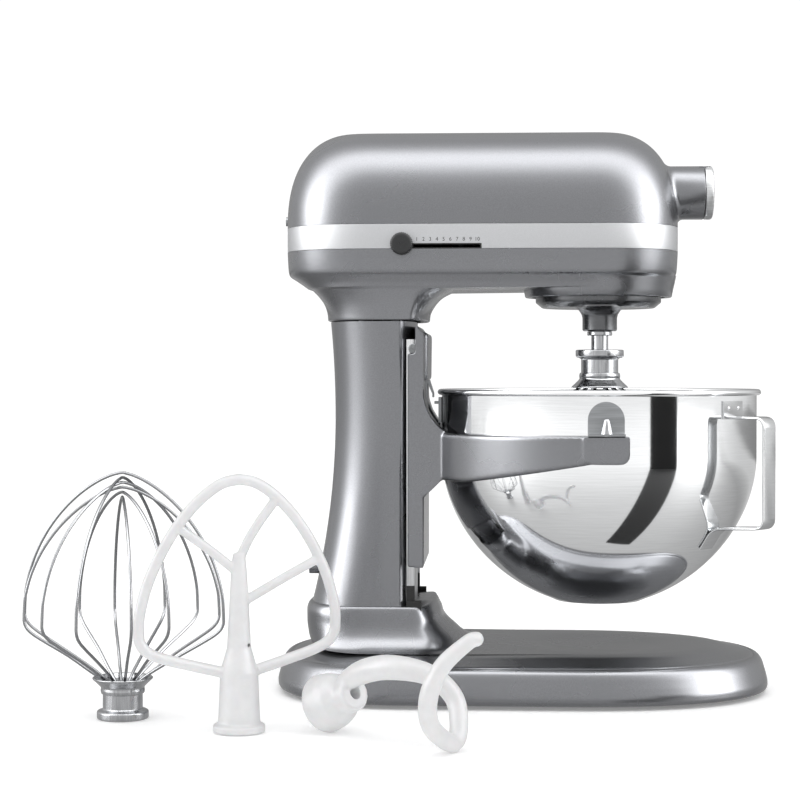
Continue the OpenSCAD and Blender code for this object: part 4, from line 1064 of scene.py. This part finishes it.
# bends of the dough hook's bar from its hub to its tip, with its share of the bar radius
HOOK_BENDS = (
    (14, -13.5, 30, 1.1),
    (20.5, -20, 38, 1.25),
    (32, -30, 45, 1.35),
    (49, -41, 48.5, 1.35),
    (72.8, -50, 45, 1.15),
    (88.5, -54, 31, 1.05),
    (91.3, -64, 12.4, 1),
    (86.7, -73, 6.2, 1),
    (74.7, -92, 20.1, 1),
    (73.7, -99, 39.3, 1),
    (82.2, -100, 58.3, 0.92),
    (97.6, -95, 72.1, 0.82),
    (102.7, -93, 74, 0.78),
)


def wire_line(wide, high, turn):
    """Path of one whisk wire: out of the hub, round its shoulder and over the top."""
    share = [(0.55, 43.9), (0.86, 57.2), (0.93, 60.8), (0.975, 64.5), (0.995, 69)]
    first = [(10, 23.7), (15.5, 28.2), (21, 32), *[(r * wide, z) for r, z in share]]
    turns = [math.radians(a) for a in range(8, 87, 6)]
    first += [(wide * math.cos(a) ** (4 / 3), 70 + (high - 70) * math.sin(a)) for a in turns]
    half = eased(first, 3)
    line = [*half, np.array((0.0, high)), *[np.array((-r, z)) for r, z in half[::-1]]]
    return np.array([(r * math.cos(turn), r * math.sin(turn), z) for r, z in line])


def whisk_wires(sizes):
    """Loops nested from the largest down, each at its own turn."""
    shapes = []
    wide = (sizes.whisk_radius - sizes.wire_radius) / MM
    high = (sizes.whisk_height - sizes.wire_radius) / MM
    section = round_section(sizes.wire_radius / MM, 10)
    for i, turn in enumerate(np.radians(WIRE_TURNS[: sizes.whisk_loops])):
        across = (-math.sin(turn), math.cos(turn), 0)
        shapes.append(swept(wire_line(wide - 2.6 * i, high - 3.35 * i, turn), section, across))
    return together(*shapes)


def whisk_ferrule():
    """Flange, neck, bead and funnel that the wires come out of."""
    flange = [(6.4, 0), (17.2, 0), (17.8, 0.7), (17.8, 4.8), (17, 5.6), (14.4, 6.4), (13.7, 7.4)]
    outside = rounded(flange, 0.5, 3)
    bead = [(13.7, 17), (14.8, 17.4), (15.2, 19.4), (14.9, 21.4), (15.4, 22.2), (18, 24.8), (20.6, 27.2)]
    bead += [(20.9, 27.8), (20.2, 28.5), (19.2, 28.2), (17, 25.4), (13, 22.9), (0, 22.7)]
    socket = [(0, 19.5), (6.4, 19.5)]
    return turned([*outside, *rounded(bead, 0.4, 3), *socket], 96, closed=True)


class MIXER_OT_whisks(bpy.types.Operator):
    """Build the whisk on the beater shaft and the spare one on the worktop"""

    bl_idname = "mixer.whisks"
    bl_label = "Whisks"

    def execute(self, context):
        sizes = context.scene.mixer_tools
        flip = Matrix.Diagonal((1, 1, -1, 1))
        on_shaft = Matrix.Translation((BOWL_AXIS_X, -BEATER_OFF, WHISK_FLANGE_Z)) @ flip
        low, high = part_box("loose_whisk_hub")
        loose = Matrix.Translation(((low + high) / 2 / MM * Vector((1, 1, 0))).to_3d())
        for name, spot, body, hub_node, wire_node in (
            ("whisk", on_shaft, "beater", "whisk_hub", "whisk_wires"),
            ("spare_whisk", loose, "spare_whisk", "loose_whisk_hub", "loose_whisk_wires"),
        ):
            hub = new_piece(name + "_ferrule", whisk_ferrule())
            carve(hub, SLIT)
            hub.data.transform(Matrix.Scale(MM, 4) @ spot @ Matrix.Scale(1 / MM, 4))
            if body == "beater":
                hub.data.flip_normals()
            shade(hub)
            finished(hub, "turned_steel", body, hub_node)
            wires = placed(whisk_wires(sizes), spot)
            piece = new_piece(name + "_wire_loops", wires, 60)
            finished(piece, "wire", body, wire_node)
        return {"FINISHED"}


class MIXER_OT_flat_beater(bpy.types.Operator):
    """Build the flat beater, one coated casting"""

    bl_idname = "mixer.flat_beater"
    bl_label = "Flat beater"

    def execute(self, context):
        sizes = context.scene.mixer_tools
        wide, tall = sizes.beater_width / MM / 146, sizes.beater_height / MM / 174
        half = [(8, 40), (34, 47), (58, 54.5), (66, 60), (69, 67), (69.2, 75), (65.7, 94), (56.6, 117)]
        half += [(40, 143.5), (22.5, 161), (9, 168.6), (0, 170.2)]
        half = [(x * wide, z * tall) for x, z in half]
        right = eased(half, 6)
        loop = [*right, *[np.array((-x, z)) for x, z in right[-2::-1]]]
        rim_bar = round_section(3.4, 20, 1.1)
        rim = swept([(x, 0, z) for x, z in loop], rim_bar, across=(0, 1, 0))
        rungs = [[(0, 107), (-22, 124.5), (-42.5, 139.5)], [(0, 86), (32, 102.5), (57.5, 115)]]
        rungs += [[(0, 104), (0.5, 114), (4.5, 125), (13, 139), (27, 157)]]
        bars = []
        for rung in rungs:
            line = [(x * wide, 0, z * tall) for x, z in eased(rung, 8)]
            bars.append(swept(line, round_section(2.9, 16, 1.1), across=(0, 1, 0)))
        spine = [(0, 0.6), (17.3, 0.6), (17.3, 5), (14, 6.4), (12.6, 40), (8, 56), (5.4, 104), (4.1, 118)]
        spine = turned([*spine, (0, 119.5)], 96)
        casting = new_piece("flat_beater_casting", together(rim, *bars, spine))
        as_casting(casting, 0.85, 4)
        for hole in (SOCKET, SLIT, toward_y(solid_rod(1.3, 0, 20, 24), 4.5, -20, 58)):
            carve(casting, hole)
        casting.data.transform(Matrix.Translation(BEATER_SPOT) @ Matrix.Rotation(BEATER_TURN, 4, "Z"))
        shade(casting, 45)
        finished(casting, "coating", "spare_beater", "flat_beater")
        return {"FINISHED"}


class MIXER_OT_dough_hook(bpy.types.Operator):
    """Build the dough hook, one coated casting lying on its side"""

    bl_idname = "mixer.dough_hook"
    bl_label = "Dough hook"

    def execute(self, context):
        bar = context.scene.mixer_tools.hook_bar / MM
        line = bent(HOOK_BENDS, 5)
        thick = [round_section(bar * share, 24) for *_, share in line]
        end = bar * line[-1][3]
        spiral = swept([p[:3] for p in line], thick)
        tip = [(end * math.sin(a), -end * math.cos(a)) for a in np.linspace(0.02, math.pi - 0.02, 13)]
        tip = at(turned([(0, -end), *tip, (0, end)], 24), *line[-1][:3])
        lie = Matrix.Translation((0, 0, 17.64)) @ Matrix.Rotation(math.radians(-42), 4, "Z")
        lie = lie @ Matrix.Rotation(math.radians(70), 4, "Y")
        bell = [(0, 0), (17.4, 0), (18.9, 0.4), (19.5, 1.6), (19.5, 4.6), (19.2, 6), (18.6, 11), (16.6, 17)]
        bell += [(13.2, 21.5), (11.8, 24), (11.8, 31), (11.2, 32.4), (10, 33), (0, 33)]
        hub = placed(turned(bell, 96), lie)
        casting = new_piece("dough_hook_casting", together(hub, spiral, tip))
        as_casting(casting, 0.9, 4)
        eye = turned([(0, 24), (3.9, 24), (3.9, 31.4), (4.6, 33.2), (4.6, 42), (0, 42)], 48)
        for hole in (SOCKET, SLIT, eye):
            carve(casting, placed(hole, lie))
        casting.data.transform(Matrix.Translation(HOOK_SPOT))
        shade(casting, 45)
        finished(casting, "coating", "spare_hook", "dough_hook")
        return {"FINISHED"}


# ---------------------------------------------------------------- pieces that keep their CAD shape
KEPT = {
    "rubber": "base_feet way_stops",
    "paint": "cord_gland",
    "slot": "slot_liner",
    "zinc": "column_bolts head_screws speed_slider bowl_latch bowl_hook bayonet_pin lift_shaft",
    "casting": "motor_cradle motor_end_frames transmission_bracket",
    "sheets": "stator_core armature_core",
    "copper": "field_coils",
    "segments": "commutator",
    "gear": "armature_shaft motor_bearings centre_gear hub_socket drive_shaft ring_gear beater_pinion",
    "bronze": "worm_wheel lift_bushing",
    "fan": "cooling_fan",
    "brass": "brush_holders",
    "board": "control_board",
}


class MIXER_OT_inner_works(bpy.types.Operator):
    """Finish the motor, the gears and the small parts that keep their CAD shape"""

    bl_idname = "mixer.inner_works"
    bl_label = "Inner works"

    def execute(self, context):
        for finish, nodes in KEPT.items():
            for node in nodes.split():
                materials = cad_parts[node].data.materials
                if not materials:
                    materials.append(FINISHES[finish])
                for i in range(len(materials)):
                    materials[i] = FINISHES[finish]
        return {"FINISHED"}


# ---------------------------------------------------------------- studio
FLOOR_HALF = 9000.0
# strengths of the softboxes seen in metal, of the even light on matt surfaces and of the backdrop
BOX_POWER = 9.0
FILL_LEVEL = 0.9
BACKDROP_LEVEL = 1.05
# the black card stands beside the camera and lies under the bowl's reflection, turned about the bowl
CARD_TURN = math.radians(-47.5)
CARD_FAR = 1150
CARD_HALF = 200
CAMERA_PLACE = (-0.01575, -1.514, 0.238)
CAMERA_AIM = (-0.09217, 0, 0.2168)


def level_ramp(tree, source, low, high, marks):
    """A level read off a ramp laid between two values of a number."""
    span = add_node(tree, "ShaderNodeMapRange", {"From Min": low, "From Max": high}, {"Value": source})
    ramp = add_node(tree, "ShaderNodeValToRGB", None, {"Fac": span.outputs["Result"]})
    first, *inner, last = [((spot - low) / (high - low), (level, level, level, 1)) for spot, level in marks]
    for mark, (spot, level) in zip(ramp.color_ramp.elements, (first, last)):
        mark.position, mark.color = spot, level
    for spot, level in inner:
        ramp.color_ramp.elements.new(spot).color = level
    return ramp.outputs["Color"]


def studio_world(scene):
    """White room: softboxes over the mixer and high at its sides, an even wall in front and behind."""
    world = bpy.data.worlds.new("studio")
    scene.world = world
    world.use_nodes = True
    tree = world.node_tree
    tree.nodes.clear()
    way = add_node(tree, "ShaderNodeTexCoord").outputs["Generated"]
    parts = add_node(tree, "ShaderNodeSeparateXYZ", None, {"Vector": way})
    fade = [(-1, 1), (0.3, 1), (0.65, 0.82), (0.88, 0.5), (1, 0.32)]
    wall = level_ramp(tree, parts.outputs["Y"], -1, 1, fade)
    band = [(-1, 0), (-0.82, 0.02), (-0.66, 0.1), (-0.5, 0.6), (-0.34, 1), (-0.12, 1), (0, 0.55)]
    boxes = level_ramp(tree, parts.outputs["Y"], -1, 1, [*band, (0.16, 0.12), (0.4, 0), (1, 0)])
    rise = [(0, 0), (0.02, 0), (0.08, 1), (0.2, 1), (0.5, 0.62), (0.8, 0.42), (1, 0.42)]
    height = level_ramp(tree, parts.outputs["Z"], 0, 1, rise)
    both = add_node(tree, "ShaderNodeMath", {"operation": "MULTIPLY"}, {0: boxes, 1: height}).outputs[0]
    brighter = {"operation": "MULTIPLY_ADD", 1: BOX_POWER}
    total = add_node(tree, "ShaderNodeMath", brighter, {0: both, 2: wall}).outputs[0]
    room = add_node(tree, "ShaderNodeBackground", {"Strength": 1.0}, {"Color": total}).outputs[0]
    fill, plain = [
        add_node(tree, "ShaderNodeBackground", {"Color": (1, 1, 1, 1), "Strength": strength}).outputs[0]
        for strength in (FILL_LEVEL, BACKDROP_LEVEL)
    ]
    rays = add_node(tree, "ShaderNodeLightPath").outputs
    seen = fill
    for ray, light in (("Is Glossy Ray", room), ("Is Camera Ray", plain)):
        seen = add_node(tree, "ShaderNodeMixShader", None, {0: rays[ray], 1: seen, 2: light}).outputs[0]
    add_node(tree, "ShaderNodeOutputWorld", None, {"Surface": seen})


def soft_light(name, place, target, size, power):
    light = bpy.data.lights.new(name, "AREA")
    light.shape = "RECTANGLE"
    light.size, light.size_y = size
    light.energy = power
    lamp = bpy.data.objects.new(name, light)
    lamp.location = place
    lamp.rotation_euler = (Vector(target) - Vector(place)).to_track_quat("-Z", "Y").to_euler()
    bpy.context.scene.collection.objects.link(lamp)
    return lamp


def unseen(piece):
    """Leave a studio card out of the picture: only its reflection in the metal shows."""
    piece.visible_camera = False
    piece.visible_diffuse = False
    piece.visible_shadow = False
    piece.visible_transmission = False


class MIXER_OT_studio(bpy.types.Operator):
    """Set up the pale floor, the soft lights and the camera"""

    bl_idname = "mixer.studio"
    bl_label = "Studio"

    def execute(self, context):
        scene = context.scene
        scene.view_settings.view_transform = "Standard"
        studio_world(scene)
        reach = (-FLOOR_HALF, FLOOR_HALF)
        floor = new_piece("floor", block(reach, reach, (-20, -0.2)))
        colour = tuple(scene.mixer_colours.floor)
        glow = {"Emission Color": (1, 1, 1, 1), "Emission Strength": 0.2}
        material, tree, shader, place = new_material("lit_opal_acrylic", colour, 0.6, extra=glow)
        vary_colour(tree, shader, noise(tree, place, 6.0), shaded(colour, 0.995), colour)
        floor.data.materials.append(material)
        floor.visible_glossy = False

        # a glowing card just under the floor's top, seen only in the metal: its glow paints the worktop's
        # reflection, with painted shade
        flag = new_piece("glowing_table_reflection_card", block(reach, reach, (-0.25, -0.21)))
        made = new_material("painted_table_reflection_glow", (0, 0, 0, 1), 0.5, extra={"Emission Strength": 1.0})
        material, tree, shader, place = made
        depth = add_node(tree, "ShaderNodeSeparateXYZ", None, {"Vector": place}).outputs["Y"]
        # levels of the painted reflection from front to back: bright far in front, painted shade darkening
        # under and just behind the mixer, dim far behind
        marks = [(-9, 0.95), (-1.5, 0.95), (-0.5, 0.86), (-0.25, 0.66), (-0.1, 0.46), (0.3, 0.26)]
        grey = level_ramp(tree, depth, -9, 9, [*marks, (0.9, 0.5), (2.6, 0.5), (3.6, 0.12), (9, 0.12)])
        tree.links.new(grey, shader.inputs["Emission Color"])
        flag.data.materials.append(material)
        unseen(flag)

        stand = block((CARD_FAR, CARD_FAR + 2), (-CARD_HALF, CARD_HALF), (-0.1, 300))
        corners = [(108, -88), (CARD_FAR, -CARD_HALF), (CARD_FAR, CARD_HALF), (128, -46)]
        lying = skin([np.array([(x, y, z) for x, y in corners]) for z in (-0.207, -0.203)])
        card = placed(together(stand, lying), Matrix.Rotation(CARD_TURN, 4, "Z"))
        card = new_piece("black_card", card)
        card.data.materials.append(new_material("black_card", hex_colour("#050505"), 0.9)[0])
        card.location = (BOWL_AXIS_X * MM, 0, 0)
        unseen(card)

        overhead = soft_light("overhead_softbox", (0.0, -0.5, 2.2), (0, 0, 0.2), (2.4, 1.6), 12)
        overhead.visible_glossy = False
        camera_data = bpy.data.cameras.new("camera")
        camera_data.lens = 90
        camera_data.sensor_width = 36
        camera = bpy.data.objects.new("camera", camera_data)
        camera.location = CAMERA_PLACE
        aim = Vector(CAMERA_AIM) - camera.location
        camera.rotation_euler = aim.to_track_quat("-Z", "Y").to_euler()
        scene.collection.objects.link(camera)
        scene.camera = camera
        return {"FINISHED"}


# ---------------------------------------------------------------- panel and run
STEPS = (
    MIXER_OT_finishes,
    MIXER_OT_base,
    MIXER_OT_column,
    MIXER_OT_head,
    MIXER_OT_power_hub,
    MIXER_OT_speed_control,
    MIXER_OT_planetary,
    MIXER_OT_carriage,
    MIXER_OT_bowl,
    MIXER_OT_lever,
    MIXER_OT_whisks,
    MIXER_OT_flat_beater,
    MIXER_OT_dough_hook,
    MIXER_OT_inner_works,
    MIXER_OT_studio,
)
GROUPS = {
    "mixer_castings": MixerCastingSizes,
    "mixer_bowl": MixerBowlSizes,
    "mixer_tools": MixerToolSizes,
    "mixer_colours": MixerColours,
}


class MIXER_PT_panel(bpy.types.Panel):
    """Lists the sizes, the colours and the steps that build the mixer"""

    bl_label = "Stand mixer"
    bl_idname = "MIXER_PT_panel"
    bl_space_type = "VIEW_3D"
    bl_region_type = "UI"
    bl_category = "Mixer"

    def draw(self, context):
        for name, group in GROUPS.items():
            box = self.layout.box()
            for prop in group.__annotations__:
                box.prop(getattr(context.scene, name), prop)
        for step in STEPS:
            self.layout.operator(step.bl_idname)


CLASSES = (*GROUPS.values(), *STEPS, MIXER_PT_panel)


def register():
    for cls in CLASSES:
        bpy.utils.register_class(cls)
    for name, group in GROUPS.items():
        setattr(bpy.types.Scene, name, PointerProperty(type=group))


def unregister():
    for name in GROUPS:
        delattr(bpy.types.Scene, name)
    for cls in reversed(CLASSES):
        bpy.utils.unregister_class(cls)


def main():
    register()
    for step in STEPS:
        getattr(bpy.ops.mixer, step.bl_idname.split(".")[1])()


if __name__ == "__main__":
    main()
